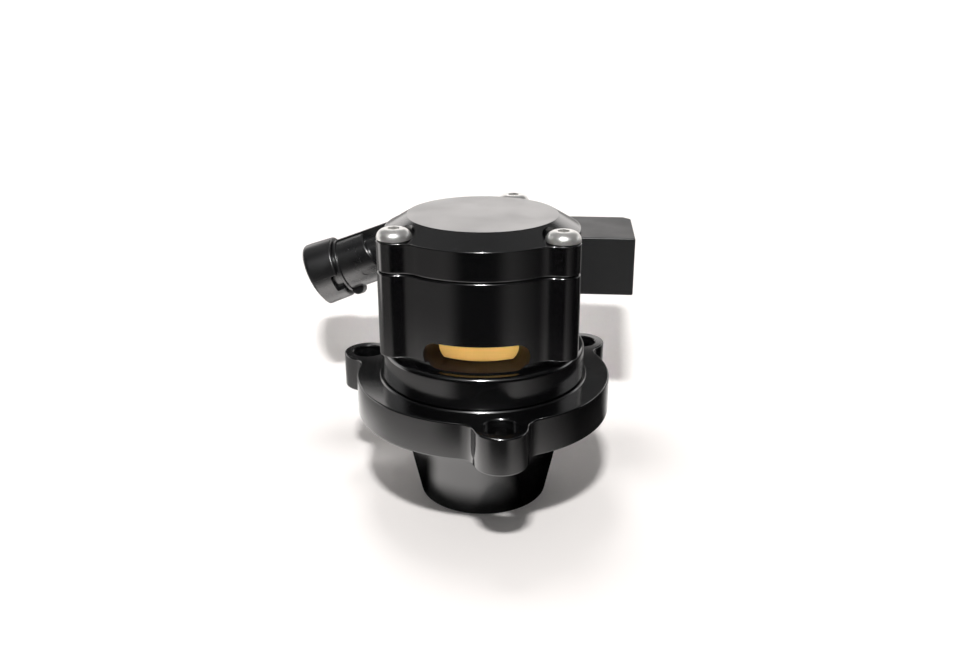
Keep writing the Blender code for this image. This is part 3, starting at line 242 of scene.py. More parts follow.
def surface_group():
    """Clouded gloss and a fine grain, in the object's own coordinates."""
    group = bpy.data.node_groups.new("machined_surface", "ShaderNodeTree")
    for name, value in (("Cloud Size", 90.0), ("Gloss Low", 0.2), ("Gloss High", 0.3),
                        ("Grain Size", 2500.0)):
        socket = group.interface.new_socket(name=name, in_out="INPUT", socket_type="NodeSocketFloat")
        socket.default_value = value
    for name in ("Roughness", "Grain"):
        group.interface.new_socket(name=name, in_out="OUTPUT", socket_type="NodeSocketFloat")
    nodes = group.nodes
    links = group.links
    enter = nodes.new("NodeGroupInput")
    leave = nodes.new("NodeGroupOutput")
    place = nodes.new("ShaderNodeTexCoord")
    cloud = nodes.new("ShaderNodeTexNoise")
    cloud.inputs["Detail"].default_value = 5.0
    spread = nodes.new("ShaderNodeMapRange")
    spread.inputs["From Min"].default_value = 0.3
    spread.inputs["From Max"].default_value = 0.7
    grain = nodes.new("ShaderNodeTexNoise")
    grain.inputs["Detail"].default_value = 3.0
    links.new(place.outputs["Object"], cloud.inputs["Vector"])
    links.new(place.outputs["Object"], grain.inputs["Vector"])
    links.new(enter.outputs["Cloud Size"], cloud.inputs["Scale"])
    links.new(enter.outputs["Grain Size"], grain.inputs["Scale"])
    links.new(cloud.outputs["Fac"], spread.inputs["Value"])
    links.new(enter.outputs["Gloss Low"], spread.inputs["To Min"])
    links.new(enter.outputs["Gloss High"], spread.inputs["To Max"])
    links.new(spread.outputs["Result"], leave.inputs["Roughness"])
    links.new(grain.outputs["Fac"], leave.inputs["Grain"])
    return group


machined_surface = surface_group()


def finish(name, colour, metallic, gloss, grain_size, grain_depth, ior=1.5, cloud_size=90.0):
    """A Principled material with clouded gloss between two roughness values and a fine grain."""
    material = bpy.data.materials.new(name)
    material.use_nodes = True
    nodes = material.node_tree.nodes
    links = material.node_tree.links
    shader = nodes["Principled BSDF"]
    shader.inputs["Base Color"].default_value = (*colour, 1.0)
    shader.inputs["Metallic"].default_value = metallic
    shader.inputs["IOR"].default_value = ior
    surface = nodes.new("ShaderNodeGroup")
    surface.node_tree = machined_surface
    surface.inputs["Cloud Size"].default_value = cloud_size
    surface.inputs["Gloss Low"].default_value = gloss[0]
    surface.inputs["Gloss High"].default_value = gloss[1]
    surface.inputs["Grain Size"].default_value = grain_size
    bump = nodes.new("ShaderNodeBump")
    bump.inputs["Distance"].default_value = grain_depth
    bump.inputs["Strength"].default_value = 1.0
    links.new(surface.outputs["Roughness"], shader.inputs["Roughness"])
    links.new(surface.outputs["Grain"], bump.inputs["Height"])
    links.new(bump.outputs["Normal"], shader.inputs["Normal"])
    return material


anodised = finish("black_anodised", ANODISED_BLACK, 0.0, (0.13, 0.20), 1500.0, 0.0000012, ior=2.3)

flange = lobed_plate("flange_and_spigot", FLANGE_RADIUS, LUG_ANGLES, LUG_CIRCLE, LUG_RADIUS, LUG_BLEND,
                     SPIGOT_HEIGHT, FLANGE_TOP, (FLANGE_EDGE, FLANGE_EDGE))
inside_plate = (SPIGOT_HEIGHT + FLANGE_TOP) / 2
spigot_root = SPIGOT_TIP_RADIUS + SPIGOT_HEIGHT * SPIGOT_TAPER
carve(flange, lathe("spigot", rounded([
    (0, 0), (SPIGOT_TIP_RADIUS, 0, 0.0005), (spigot_root, SPIGOT_HEIGHT), (spigot_root, inside_plate),
    (0, inside_plate)])), "UNION")
mouth = SPIGOT_TIP_RADIUS - SPIGOT_WALL
carve(flange, lathe("spigot_bore", [
    (0, -0.002), (mouth + 0.0028, -0.002), (mouth + 0.0004, 0.0004),
    (mouth + 0.0008 * SPIGOT_TAPER, 0.0008),
    (mouth + CHAMBER_BASE * SPIGOT_TAPER, CHAMBER_BASE), (CHAMBER_RADIUS, CHAMBER_BASE),
    (CHAMBER_RADIUS, WEB_UNDERSIDE), (NOSE_BORE, WEB_UNDERSIDE),
    (NOSE_BORE, FLANGE_TOP - 0.0004), (NOSE_BORE + 0.0008, FLANGE_TOP + 0.0004), (0, FLANGE_TOP + 0.0004)]))
carve(flange, lathe("locating_lip", [
    (LIP_INSIDE, FLANGE_TOP - 0.0005), (LIP_RADIUS, FLANGE_TOP - 0.0005), (LIP_RADIUS, FLANGE_TOP),
    (LIP_RADIUS - LIP_RISE, FLANGE_TOP + LIP_RISE), (LIP_RADIUS - 0.0006, FLANGE_TOP + LIP_RISE),
    (LIP_RADIUS - 0.0007, FLANGE_TOP - 0.0001), (LIP_INSIDE, FLANGE_TOP - 0.0001)]), "UNION")
carve(flange, lathe("seal_groove", [
    (SEAL_GROOVE_IN, SPIGOT_HEIGHT - CUT_PAST), (SEAL_GROOVE_OUT, SPIGOT_HEIGHT - CUT_PAST),
    (SEAL_GROOVE_OUT, SEAL_GROOVE_TOP), (SEAL_GROOVE_IN, SEAL_GROOVE_TOP)]))
for angle in LUG_ANGLES:
    hole = lathe("lug_hole", [
        (0, SPIGOT_HEIGHT - CUT_PAST), (LUG_HOLE + CHAMFER_FLARE, SPIGOT_HEIGHT - CUT_PAST),
        (LUG_HOLE, SPIGOT_HEIGHT + HOLE_CHAMFER), (LUG_HOLE, LUG_SEAT_HEIGHT), (LUG_SEAT, LUG_SEAT_HEIGHT),
        (LUG_SEAT, FLANGE_TOP - HOLE_CHAMFER), (LUG_SEAT + CHAMFER_FLARE, FLANGE_TOP + CUT_PAST),
        (0, FLANGE_TOP + CUT_PAST)], 72)
    carve(flange, put(hole, polar(LUG_CIRCLE, angle).to_3d()))
put(flange, AXIS)
complete(flange, anodised, "black_anodised", "body", "mounting_flange")

# Valve body. Turned from billet with a base ring that sits on the flange, a short neck, and a cylinder
# with three lobes for the cap screws. Three vent slots are milled radially at its foot. It is black
# anodised like the flange. The faces inside the slots are rougher and reflect less, which is painted shade.
NOSE_END = 0.0282
NOSE_RADIUS = 0.0202
CLIP_GROOVE_RADIUS = 0.0183
CLIP_GROOVE_LOW = 0.0297
CLIP_GROOVE_HIGH = 0.0316
RING_BASE = 0.0379
RING_RADIUS = 0.0293
RING_TOP = 0.0470
NECK_RADIUS = 0.0261
NECK_END = 0.060
BODY_BASE = 0.0490
BODY_TOP = 0.07255
BODY_RADIUS = 0.0274
BODY_EDGE = 0.00045
SCREW_CIRCLE = 0.0276
SCREW_ANGLES = {"front_left": math.radians(-147.8), "front_right": math.radians(-39.6),
                "rear": math.radians(70.6)}
LOBE_RADIUS = 0.00485
LOBE_BLEND = 0.0060
BORE_RADIUS = 0.0191
THROAT_RADIUS = 0.0155
SEAT_HEIGHT = 0.0474
SLOT_HEIGHT = 0.0078
SLOT_HALF_SPAN = math.radians(31.6)
SLOT_STEPS = 30
SOLENOID_PLACE = Vector((0, 0.0453, 0.06044))
SOLENOID_TURN = math.radians(-4.4)
SOLENOID = Matrix.Translation(AXIS + SOLENOID_PLACE) @ Matrix.Rotation(SOLENOID_TURN, 4, "Z")
SCREW_THREAD_RADIUS = 0.00265
SCREW_THREAD_END = 0.0590
BOSS_LOW = (-0.0217, -0.0281, -0.0026)
BOSS_HIGH = (0.0027, -0.0127, 0.0115)
MOUNT_SCREW_X = (-0.0177, -0.0013)
MOUNT_SCREW_RISE = 0.0050


def rounded_block(name, low, high, edge, segments=3):
    """A cube drawn between two corners, with its edges rounded."""
    deselect()
    low = Vector(low)
    high = Vector(high)
    bpy.ops.mesh.primitive_cube_add(size=1, location=(low + high) / 2)
    piece = bpy.context.object
    piece.name = name
    piece.dimensions = high - low
    bpy.ops.object.transform_apply(location=True, rotation=True, scale=True)
    if edge:
        bevel(piece, edge, lambda a, b: True, segments)
    return piece


def rod(name, radius, start, end, sides=48):
    """A cylinder drawn between two points."""
    deselect()
    start = Vector(start)
    span = Vector(end) - start
    turn = Vector((0, 0, 1)).rotation_difference(span).to_euler()
    bpy.ops.mesh.primitive_cylinder_add(vertices=sides, radius=radius, depth=span.length,
                                        location=start + span / 2, rotation=turn)
    piece = bpy.context.object
    piece.name = name
    bpy.ops.object.transform_apply(location=True, rotation=True, scale=True)
    return piece


def slot_cutter(centre):
    """The way of a round milling cutter that the body is turned under."""
    mill = SLOT_HEIGHT / 2
    middle = SEAT_HEIGHT + mill
    turn = SLOT_HALF_SPAN - math.asin(mill / BODY_RADIUS)
    inner = BORE_RADIUS * 0.8
    outer = RING_RADIUS * 1.3
    deselect()
    bpy.ops.mesh.primitive_plane_add(size=1, location=((inner + outer) / 2, 0, middle),
                                     rotation=(math.pi / 2, 0, 0))
    cutter = bpy.context.object
    cutter.scale = (outer - inner, SLOT_HEIGHT, 1)
    bpy.ops.object.transform_apply(location=True, rotation=True, scale=True)
    put(cutter, Matrix.Rotation(centre - turn, 4, "Z"))
    bpy.ops.object.mode_set(mode="EDIT")
    bpy.ops.mesh.select_all(action="SELECT")
    bpy.ops.mesh.spin(steps=SLOT_STEPS, angle=-2 * turn, center=(0, 0, 0), axis=(0, 0, 1))
    bpy.ops.mesh.select_all(action="SELECT")
    bpy.ops.mesh.normals_make_consistent(inside=False)
    bpy.ops.object.mode_set(mode="OBJECT")
    rise = Vector((0, 0, middle))
    for side in (-turn, turn):
        near = polar(inner, centre + side).to_3d() + rise
        far = polar(outer, centre + side).to_3d() + rise
        carve(cutter, rod("slot_end", mill, near, far), "UNION")
    return cutter


body = lobed_plate("body_cylinder", BODY_RADIUS, SCREW_ANGLES.values(), SCREW_CIRCLE, LOBE_RADIUS,
                   LOBE_BLEND, BODY_BASE, BODY_TOP, (BODY_EDGE, BODY_EDGE))
carve(body, lathe("base_ring", rounded([
    (0, NOSE_END), (NOSE_RADIUS, NOSE_END, 0.0004), (NOSE_RADIUS, CLIP_GROOVE_LOW),
    (CLIP_GROOVE_RADIUS, CLIP_GROOVE_LOW), (CLIP_GROOVE_RADIUS, CLIP_GROOVE_HIGH),
    (NOSE_RADIUS, CLIP_GROOVE_HIGH), (NOSE_RADIUS, RING_BASE), (RING_RADIUS, RING_BASE, 0.0006),
    (RING_RADIUS, RING_TOP, 0.0014), (NECK_RADIUS, RING_TOP), (NECK_RADIUS, NECK_END),
    (0, NECK_END)], 6)), "UNION")
boss = rounded_block("solenoid_boss", BOSS_LOW, BOSS_HIGH, 0.0007)
carve(body, put(boss, Matrix.Translation(-AXIS) @ SOLENOID), "UNION")
carve(body, lathe("bore", [
    (0, NOSE_END - CUT_PAST), (THROAT_RADIUS + CHAMFER_FLARE, NOSE_END - CUT_PAST),
    (THROAT_RADIUS, NOSE_END + HOLE_CHAMFER), (THROAT_RADIUS, SEAT_HEIGHT), (BORE_RADIUS, SEAT_HEIGHT),
    (BORE_RADIUS, BODY_TOP + CUT_PAST), (0, BODY_TOP + CUT_PAST)]))
screw_angles = sorted(SCREW_ANGLES.values())
for first, second in zip(screw_angles, screw_angles[1:] + [screw_angles[0] + 2 * math.pi]):
    carve(body, slot_cutter((first + second) / 2))
for angle in screw_angles:
    thread = rod("screw_thread", SCREW_THREAD_RADIUS, (0, 0, SCREW_THREAD_END), (0, 0, BODY_TOP + CUT_PAST))
    carve(body, put(thread, polar(SCREW_CIRCLE, angle).to_3d()))
put(body, AXIS)
complete(body, anodised, "black_anodised", "body", "valve_body")
# The slots' inner faces get a rougher finish with a lower IOR that darkens their reflections: painted shade
# in the slots.
milled_and_shaded = finish("milled_anodised_shaded", ANODISED_BLACK, 0.0, (0.45, 0.60), 700.0, 0.00001, ior=1.4)
body.data.materials.append(milled_and_shaded)
for face in body.data.polygons:
    outward = face.center.xy - AXIS.xy
    inside = outward.length < BODY_RADIUS - 0.0002
    at_slots = SEAT_HEIGHT - 0.0002 < face.center.z < BODY_TOP - 0.002
    if inside and at_slots and face.normal.xy.dot(outward.normalized()) < 0.5:
        face.material_index = 1

# Piston. A turned brass cup with its closed end down, which shows through the vent slots.
# It is polished on the lathe, and very fine turning marks run round it.
PISTON_RADIUS = 0.0188
PISTON_BASE = 0.0477
PISTON_TOP = 0.0611
PISTON_GROOVE_RADIUS = 0.0170
PISTON_GROOVE_LOW = 0.05785
PISTON_GROOVE_HIGH = 0.05995
PISTON_DISH_INNER = 0.0123
PISTON_DISH_OUTER = 0.0135
PISTON_DISH_TOP = PISTON_BASE + 0.0012
PISTON_CUP_RADIUS = 0.0152
PISTON_CUP_FLOOR = PISTON_BASE + 0.0040

piston = lathe("brass_piston", rounded([
    (0, PISTON_DISH_TOP), (PISTON_DISH_INNER, PISTON_DISH_TOP), (PISTON_DISH_OUTER, PISTON_BASE),
    (PISTON_RADIUS, PISTON_BASE, 0.0005), (PISTON_RADIUS, PISTON_GROOVE_LOW),
    (PISTON_GROOVE_RADIUS, PISTON_GROOVE_LOW), (PISTON_GROOVE_RADIUS, PISTON_GROOVE_HIGH),
    (PISTON_RADIUS, PISTON_GROOVE_HIGH), (PISTON_RADIUS, PISTON_TOP, 0.0004),
    (PISTON_CUP_RADIUS, PISTON_TOP, 0.0004), (PISTON_CUP_RADIUS, PISTON_CUP_FLOOR, 0.0008),
    (0, PISTON_CUP_FLOOR)]))
put(piston, AXIS)
brass = finish("turned_brass", (0.92, 0.56, 0.16), 0.4, (0.34, 0.42), 1200.0, 0.0000015, cloud_size=160.0)
brass_shader = brass.node_tree.nodes["Principled BSDF"]
around = brass.node_tree.nodes.new("ShaderNodeTangent")
around.direction_type = "RADIAL"
around.axis = "Z"
brass.node_tree.links.new(around.outputs["Tangent"], brass_shader.inputs["Tangent"])
brass_shader.inputs["Anisotropic"].default_value = 0.75
complete(piston, brass, "brass", "piston", "piston")

# Cap. A lobed rim with a cone on it that rises to a flat disc. The screw heads sit in round pockets that
# cut into the cone. Black anodised; the disc is faced bright afterwards and has a satin grey sheen.
CAP_BASE = 0.07285
CAP_SHOULDER = 0.08105
CAP_TOP = 0.0846
CAP_INSIDE = 0.0769
CAP_CONE_RADIUS = 0.0270
CAP_DISC_RADIUS = 0.0211
CAP_CEILING = 0.0812
CAP_PILOT_END = 0.0705
CAP_PILOT_RADIUS = 0.0188
CAP_RECESS_RADIUS = 0.0150
POCKET_RADIUS = 0.0056
SCREW_HOLE_RADIUS = 0.0028

cap = lobed_plate("valve_cap", BODY_RADIUS, SCREW_ANGLES.values(), SCREW_CIRCLE, LOBE_RADIUS, LOBE_BLEND,
                  CAP_BASE, CAP_SHOULDER, (BODY_EDGE, 0.0003))
carve(cap, lathe("cap_cone", rounded([
    (0, CAP_PILOT_END), (CAP_PILOT_RADIUS, CAP_PILOT_END, 0.0004), (CAP_PILOT_RADIUS, CAP_INSIDE),
    (CAP_CONE_RADIUS, CAP_INSIDE), (CAP_CONE_RADIUS, CAP_SHOULDER), (CAP_DISC_RADIUS, CAP_TOP, 0.0004),
    (0, CAP_TOP)])), "UNION")
carve(cap, lathe("cap_recess", rounded([
    (0, CAP_PILOT_END - CUT_PAST), (CAP_RECESS_RADIUS, CAP_PILOT_END - CUT_PAST),
    (CAP_RECESS_RADIUS, CAP_CEILING, 0.0009), (0, CAP_CEILING)])))
for angle in SCREW_ANGLES.values():
    pocket = lathe("screw_pocket", [
        (0, CAP_BASE - CUT_PAST), (SCREW_HOLE_RADIUS, CAP_BASE - CUT_PAST),
        (SCREW_HOLE_RADIUS, CAP_SHOULDER), (POCKET_RADIUS, CAP_SHOULDER),
        (POCKET_RADIUS, CAP_TOP + 0.002), (0, CAP_TOP + 0.002)], 72)
    carve(cap, put(pocket, polar(SCREW_CIRCLE, angle).to_3d()))
put(cap, AXIS)
complete(cap, anodised, "black_anodised", "body", "top_cap")

satin = finish("satin_disc", (0.36, 0.355, 0.355), 1.0, (0.30, 0.38), 2200.0, 0.000002)
cap.data.materials.append(satin)
for face in cap.data.polygons:
    from_axis = (face.center.xy - AXIS.xy).length
    if face.normal.z > 0.96 and face.center.z > CAP_TOP - 0.0003 and from_axis < CAP_DISC_RADIUS:
        face.material_index = 1

# Cap screws. Three M5 button heads of stainless steel with a hexagon socket, set in the cap's lobes.
# The heads are formed and tumbled, so they shine with soft edges.
HEAD_RADIUS = 0.00475
HEAD_HEIGHT = 0.00275
HEAD_FLAT_RADIUS = 0.0022
HEAD_RIM = 0.0003
HEAD_STEPS = 14
HEAD_SEAT = CAP_SHOULDER + 0.0003
SHANK_RADIUS = 0.0025
SHANK_LENGTH = 0.0220
SHANK_CHAMFER = 0.0006
SOCKET_RADIUS = 0.00173
SOCKET_DEPTH = 0.0015

steel = finish("bright_stainless", (0.76, 0.75, 0.73), 0.85, (0.28, 0.38), 900.0, 0.000004,
               cloud_size=400.0)
turns = [math.pi / 2 * step / HEAD_STEPS for step in range(HEAD_STEPS + 1)]
head = [Vector((HEAD_FLAT_RADIUS + (HEAD_RADIUS - HEAD_FLAT_RADIUS) * math.cos(turn),
                HEAD_RIM + (HEAD_HEIGHT - HEAD_RIM) * math.sin(turn))) for turn in turns]
shank = [Vector(point) for point in (
    (0, -SHANK_LENGTH), (SHANK_RADIUS - SHANK_CHAMFER, -SHANK_LENGTH),
    (SHANK_RADIUS, -SHANK_LENGTH + SHANK_CHAMFER), (SHANK_RADIUS, 0), (HEAD_RADIUS - 0.0001, 0),
    (HEAD_RADIUS, 0.0001))]
for place_name, angle in SCREW_ANGLES.items():
    screw = lathe("button_screw_" + place_name, shank + head + [Vector((0, HEAD_HEIGHT))], 72)
    socket = rod("socket", SOCKET_RADIUS, (0, 0, HEAD_HEIGHT - SOCKET_DEPTH), (0, 0, 2 * HEAD_HEIGHT), 6)
    carve(screw, socket)
    put(screw, AXIS + polar(SCREW_CIRCLE, angle).to_3d() + Vector((0, 0, HEAD_SEAT)))
    complete(screw, steel, "stainless", "body", "cap_screw_" + place_name)

# Solenoid housing. A black nylon moulding bolted to the boss at the back of the body, with the slanted
# barrel of the plug moulded on its left side: a ridge round it, a rib along its top, a latch under it.
HOUSING_LOW = (-0.0280, -0.0124, -0.0091)
HOUSING_HIGH = (0.0152, 0.0104, 0.0091)
PLUG_PLACE = (-0.0558, 0, -0.00906)
PLUG_SLOPE = math.radians(90 - 20.5)
PLUG = SOLENOID @ Matrix.Translation(PLUG_PLACE) @ Matrix.Rotation(PLUG_SLOPE, 4, "Y")
BARREL_RADIUS = 0.00847
BARREL_START = 0.0055
BARREL_END = 0.0222
BARREL_EDGE = 0.0006
BARREL_SLANT = math.radians(15)
RIDGE_RADIUS = 0.00897
RIDGE_START = 0.0095
RIDGE_END = RIDGE_START + 0.0010
PLUG_NECK_RADIUS = 0.00667
PLUG_NECK_END = 0.0310
PLUG_CAVITY_RADIUS = 0.00647
PLUG_CAVITY_DEPTH = 0.0150
RIB_LOW = (-0.00897, -0.0006, 0.0098)
RIB_HIGH = (-0.0040, 0.0006, PLUG_NECK_END)
LATCH_RADIUS = 0.0020
LATCH_FROM_RIM = 0.0120
LATCH_HALF_WIDTH = 0.0022
LATCH_ANGLE = math.radians(-14)
CORE_BORE_RADIUS = 0.00495
CORE_FLOOR = 0.0025
CORE_SHELF = 0.0113
CORE_FLANGE_RADIUS = 0.0076
CORE_NOZZLE_RADIUS = 0.0020
CORE_NOZZLE_END = 0.0045
CORE_END = 0.0160
MARK_RADIUS = 0.0012
MARK_DEPTH = 0.00025
MARK_ANGLE = math.radians(-71)
MARK_FROM_RIM = 0.0180
MOUNT_HOLE_RADIUS = 0.0023


def slant(piece, low, high, angle):
    """Tilt the part of a turned piece between two heights."""
    for vert in piece.data.vertices:
        if low - 1e-5 < vert.co.z < high + 1e-5:
            vert.co.z += vert.co.x * math.tan(angle)


housing = rounded_block("housing_block", HOUSING_LOW, HOUSING_HIGH, 0.0012)
barrel = lathe("plug_barrel", rounded([
    (0, BARREL_START), (BARREL_RADIUS, BARREL_START, 0.0003), (BARREL_RADIUS, RIDGE_START),
    (RIDGE_RADIUS, RIDGE_START, 0.0002), (RIDGE_RADIUS, RIDGE_END, 0.0002), (BARREL_RADIUS, RIDGE_END),
    (BARREL_RADIUS, BARREL_END, BARREL_EDGE), (PLUG_NECK_RADIUS, BARREL_END),
    (PLUG_NECK_RADIUS, PLUG_NECK_END), (0, PLUG_NECK_END)]), 96)
slant(barrel, BARREL_END - BARREL_EDGE, BARREL_END, BARREL_SLANT)
carve(barrel, rounded_block("barrel_rib", RIB_LOW, RIB_HIGH, 0.0003), "UNION")
latch = rod("latch", LATCH_RADIUS, (BARREL_RADIUS + 0.0002, -LATCH_HALF_WIDTH, LATCH_FROM_RIM),
            (BARREL_RADIUS + 0.0002, LATCH_HALF_WIDTH, LATCH_FROM_RIM))
bevel(latch, 0.0003, lambda a, b: abs(a.y - b.y) < 1e-6)
carve(barrel, put(latch, Matrix.Rotation(LATCH_ANGLE, 4, "Z")), "UNION")
mark = rod("mould_mark", MARK_RADIUS, (BARREL_RADIUS - MARK_DEPTH, 0, MARK_FROM_RIM),
           (BARREL_RADIUS + CUT_PAST, 0, MARK_FROM_RIM))
carve(barrel, put(mark, Matrix.Rotation(MARK_ANGLE, 4, "Z")))
put(barrel, SOLENOID.inverted() @ PLUG)
carve(housing, barrel, "UNION")
cavity = rod("barrel_cavity", PLUG_CAVITY_RADIUS, (0, 0, 0), (0, 0, PLUG_CAVITY_DEPTH), 72)
carve(housing, put(cavity, SOLENOID.inverted() @ PLUG))
core_bore = lathe("core_bore", [
    (0, CORE_NOZZLE_END), (CORE_NOZZLE_RADIUS, CORE_NOZZLE_END), (CORE_NOZZLE_RADIUS, CORE_FLOOR),
    (CORE_BORE_RADIUS, CORE_FLOOR), (CORE_BORE_RADIUS, CORE_SHELF), (CORE_FLANGE_RADIUS, CORE_SHELF),
    (CORE_FLANGE_RADIUS, CORE_END), (0, CORE_END)], 96)
carve(housing, put(core_bore, Matrix.Rotation(math.pi / 2, 4, "Y")))
for x in MOUNT_SCREW_X:
    ends = [(x, y, MOUNT_SCREW_RISE) for y in (-0.02, 0.02)]
    carve(housing, rod("mount_hole", MOUNT_HOLE_RADIUS, *ends))
put(housing, SOLENOID)
nylon = finish("satin_black_nylon", (0.005, 0.005, 0.0055), 0.0, (0.22, 0.34), 1600.0, 0.000004, ior=2.15)
complete(housing, nylon, "housing_plastic", "body", "solenoid_housing")

# Plug collar. The moulded collar round the mouth of the barrel, a little wider at its slanted rim than
# at the back. It has a notch for the latch, and a fine parting line on each side, where the halves of
# the mould met.
SHELL_RADIUS = 0.0106
SHELL_REAR_RADIUS = 0.0102
SHELL_LENGTH = 0.0092
SHELL_INSIDE = 0.00877
SHELL_FILLET = 0.0011
SHELL_SLANT = math.radians(5.8)
NOTCH_ANGLE = math.radians(-73)
NOTCH_LOW = (0.0044, -0.0029, 0.0068)
NOTCH_HIGH = (0.0212, 0.0029, 0.0184)
SEAM_RADIUS = 0.00014

collar = lathe("plug_collar", rounded([
    (SHELL_INSIDE, 0), (SHELL_RADIUS, 0, SHELL_FILLET), (SHELL_REAR_RADIUS, SHELL_LENGTH, 0.0006),
    (SHELL_INSIDE, SHELL_LENGTH)], 6), 96)
notch = rounded_block("collar_notch", NOTCH_LOW, NOTCH_HIGH, 0.0005)
carve(collar, put(notch, Matrix.Rotation(NOTCH_ANGLE, 4, "Z")))
for side in (-1, 1):
    seam = rod("parting_line", SEAM_RADIUS, (SHELL_RADIUS + 0.00005, 0, -CUT_PAST),
               (SHELL_REAR_RADIUS, 0, SHELL_LENGTH + CUT_PAST), 12)
    carve(collar, put(seam, Matrix.Rotation(side * math.pi / 2, 4, "Z")))
slant(collar, 0, SHELL_FILLET, SHELL_SLANT)
put(collar, PLUG)
complete(collar, nylon, "shell_plastic", "body", "connector_shell")

# Coil case. A plain matt grey moulding round the coil, with square edges and one chamfered corner at the
# back. It is hollow where the coil and its core tube sit.
CASE_LOW = (0.0155, -0.01385, -0.0093)
CASE_HIGH = (0.0483, 0.01385, 0.0093)
CASE_CORNER = 0.0024
CASE_CAVITY_RADIUS = 0.0078
CASE_CAVITY_END = 0.0445

case = rounded_block("coil_case_moulding", CASE_LOW, CASE_HIGH, 0)
bevel(case, CASE_CORNER,
      lambda a, b: min(a.x, b.x) > CASE_HIGH[0] - 1e-6 and min(a.y, b.y) > CASE_HIGH[1] - 1e-6, 1)
bevel(case, 0.0005, lambda a, b: True)
carve(case, rod("coil_cavity", CASE_CAVITY_RADIUS, (0, 0, 0), (CASE_CAVITY_END, 0, 0), 72))
put(case, SOLENOID)
case_grey = finish("matt_grey_moulding", (0.012, 0.0125, 0.013), 0.0, (0.40, 0.52), 1100.0, 0.000012,
                   ior=1.75)
complete(case, case_grey, "case_plastic", "body", "coil_case")

# Small pieces that stay as they are built: seals, the retaining ring, the solenoid's inner pieces and
# its two mounting screws. Each gets the finish of what it is made of.
rubber = finish("nitrile_rubber", (0.018, 0.018, 0.018), 0.0, (0.55, 0.70), 1500.0, 0.000005)
ptfe = finish("turned_ptfe", (0.78, 0.77, 0.72), 0.0, (0.40, 0.50), 1500.0, 0.000003)
spring_steel = finish("drawn_spring_steel", (0.46, 0.46, 0.47), 1.0, (0.28, 0.40), 1800.0, 0.000003)
magnet_steel = finish("ground_steel", (0.52, 0.51, 0.49), 1.0, (0.25, 0.35), 1800.0, 0.000003)
bobbin_nylon = finish("natural_nylon", (0.62, 0.59, 0.49), 0.0, (0.45, 0.55), 1200.0, 0.000004)
copper = finish("enamelled_copper", (0.60, 0.24, 0.11), 1.0, (0.25, 0.35), 1800.0, 0.00001)
tin = finish("tinned_brass", (0.72, 0.71, 0.68), 1.0, (0.22, 0.34), 1500.0, 0.000002)
for material, names in (
        (rubber, ("flange_seal", "nose_seal", "cap_seal", "piston_seal", "port_seal", "core_tube_seal",
                  "plunger_pad", "connector_seal")),
        (ptfe, ("seat_seal",)), (spring_steel, ("retaining_ring",)),
        (magnet_steel, ("pole_piece", "plunger")),
        (steel, ("core_tube", "solenoid_screw_left", "solenoid_screw_right")),
        (bobbin_nylon, ("coil_bobbin",)), (copper, ("coil_winding",)),
        (tin, ("terminal_pin_front", "terminal_pin_rear"))):
    for name in names:
        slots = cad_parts[name].data.materials
        slots.clear()
        slots.append(material)

# The two springs, wound from drawn wire to the length that each has in the model. Given for each: its
# radius, its wire's radius, turns and travel.
MAIN_SPRING = (0.0126, 0.0010, 6.5, 0.0090)
PLUNGER_SPRING = (0.0016, 0.00025, 6.5, 0.0015)


def wound_spring(name, radius, wire, turns, length):
    """A circle of wire drawn up a screw, with its two ends closed."""
    deselect()
    bpy.ops.mesh.primitive_circle_add(vertices=12, radius=wire, location=(radius, 0, wire),
                                      rotation=(math.pi / 2, 0, 0))
    piece = bpy.context.object
    piece.name = name
    bpy.ops.object.transform_apply(location=True, rotation=True, scale=True)
    step = piece.modifiers.new("Wire", "SCREW")
    step.angle = 2 * math.pi * turns
    step.screw_offset = length - 2 * wire
    step.steps = step.render_steps = round(36 * turns)
    bpy.ops.object.modifier_apply(modifier=step.name)
    bpy.ops.object.mode_set(mode="EDIT")
    bpy.ops.mesh.select_all(action="SELECT")
    bpy.ops.mesh.fill_holes(sides=0)
    bpy.ops.mesh.normals_make_consistent(inside=False)
    bpy.ops.object.mode_set(mode="OBJECT")
    return piece


along_plunger = SOLENOID @ Matrix.Rotation(math.pi / 2, 4, "Y")
for name, joint, place, (radius, wire, turns, travel) in (
        ("main_spring", "piston_lift", Matrix.Translation(AXIS), MAIN_SPRING),
        ("plunger_spring", "plunger_pull", along_plunger, PLUNGER_SPRING)):
    built = [place.inverted() @ vert.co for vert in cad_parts[name].data.vertices]
    low = min(point.z for point in built)
    high = max(point.z for point in built)
    spring = put(wound_spring("wound_" + name, radius, wire, turns, high - low),
                 place @ Matrix.Translation((0, 0, low)))
    complete(spring, spring_steel, "spring_steel", "body", name)
    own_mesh(spring)

# Studio. White paper that rises behind the valve and runs out to white all round. A flash stands in
# front with a narrow fill light, and a box light hangs overhead. The camera stands in front of the valve
# and looks down on it by about twenty degrees.
CAMERA_FROM_AXIS = Vector((0.00204, -0.2640, 0.14865))
CAMERA_PITCH = math.radians(69.705)
CAMERA_LENS = 35.75
SWEEP_START = 0.036
SWEEP_RADIUS = 0.030
SWEEP_SLOPE = math.radians(32)
SWEEP_STEPS = 12
PAPER_REACH = 4


def area_light(name, place, target, size, power):
    lamp = bpy.data.lights.new(name, "AREA")
    lamp.shape = "RECTANGLE"
    lamp.size = size[0]
    lamp.size_y = size[1]
    lamp.energy = power
    light = bpy.data.objects.new(name, lamp)
    light.location = place
    light.rotation_euler = (Vector(target) - Vector(place)).to_track_quat("-Z", "Y").to_euler()
    bpy.context.scene.collection.objects.link(light)
    return light


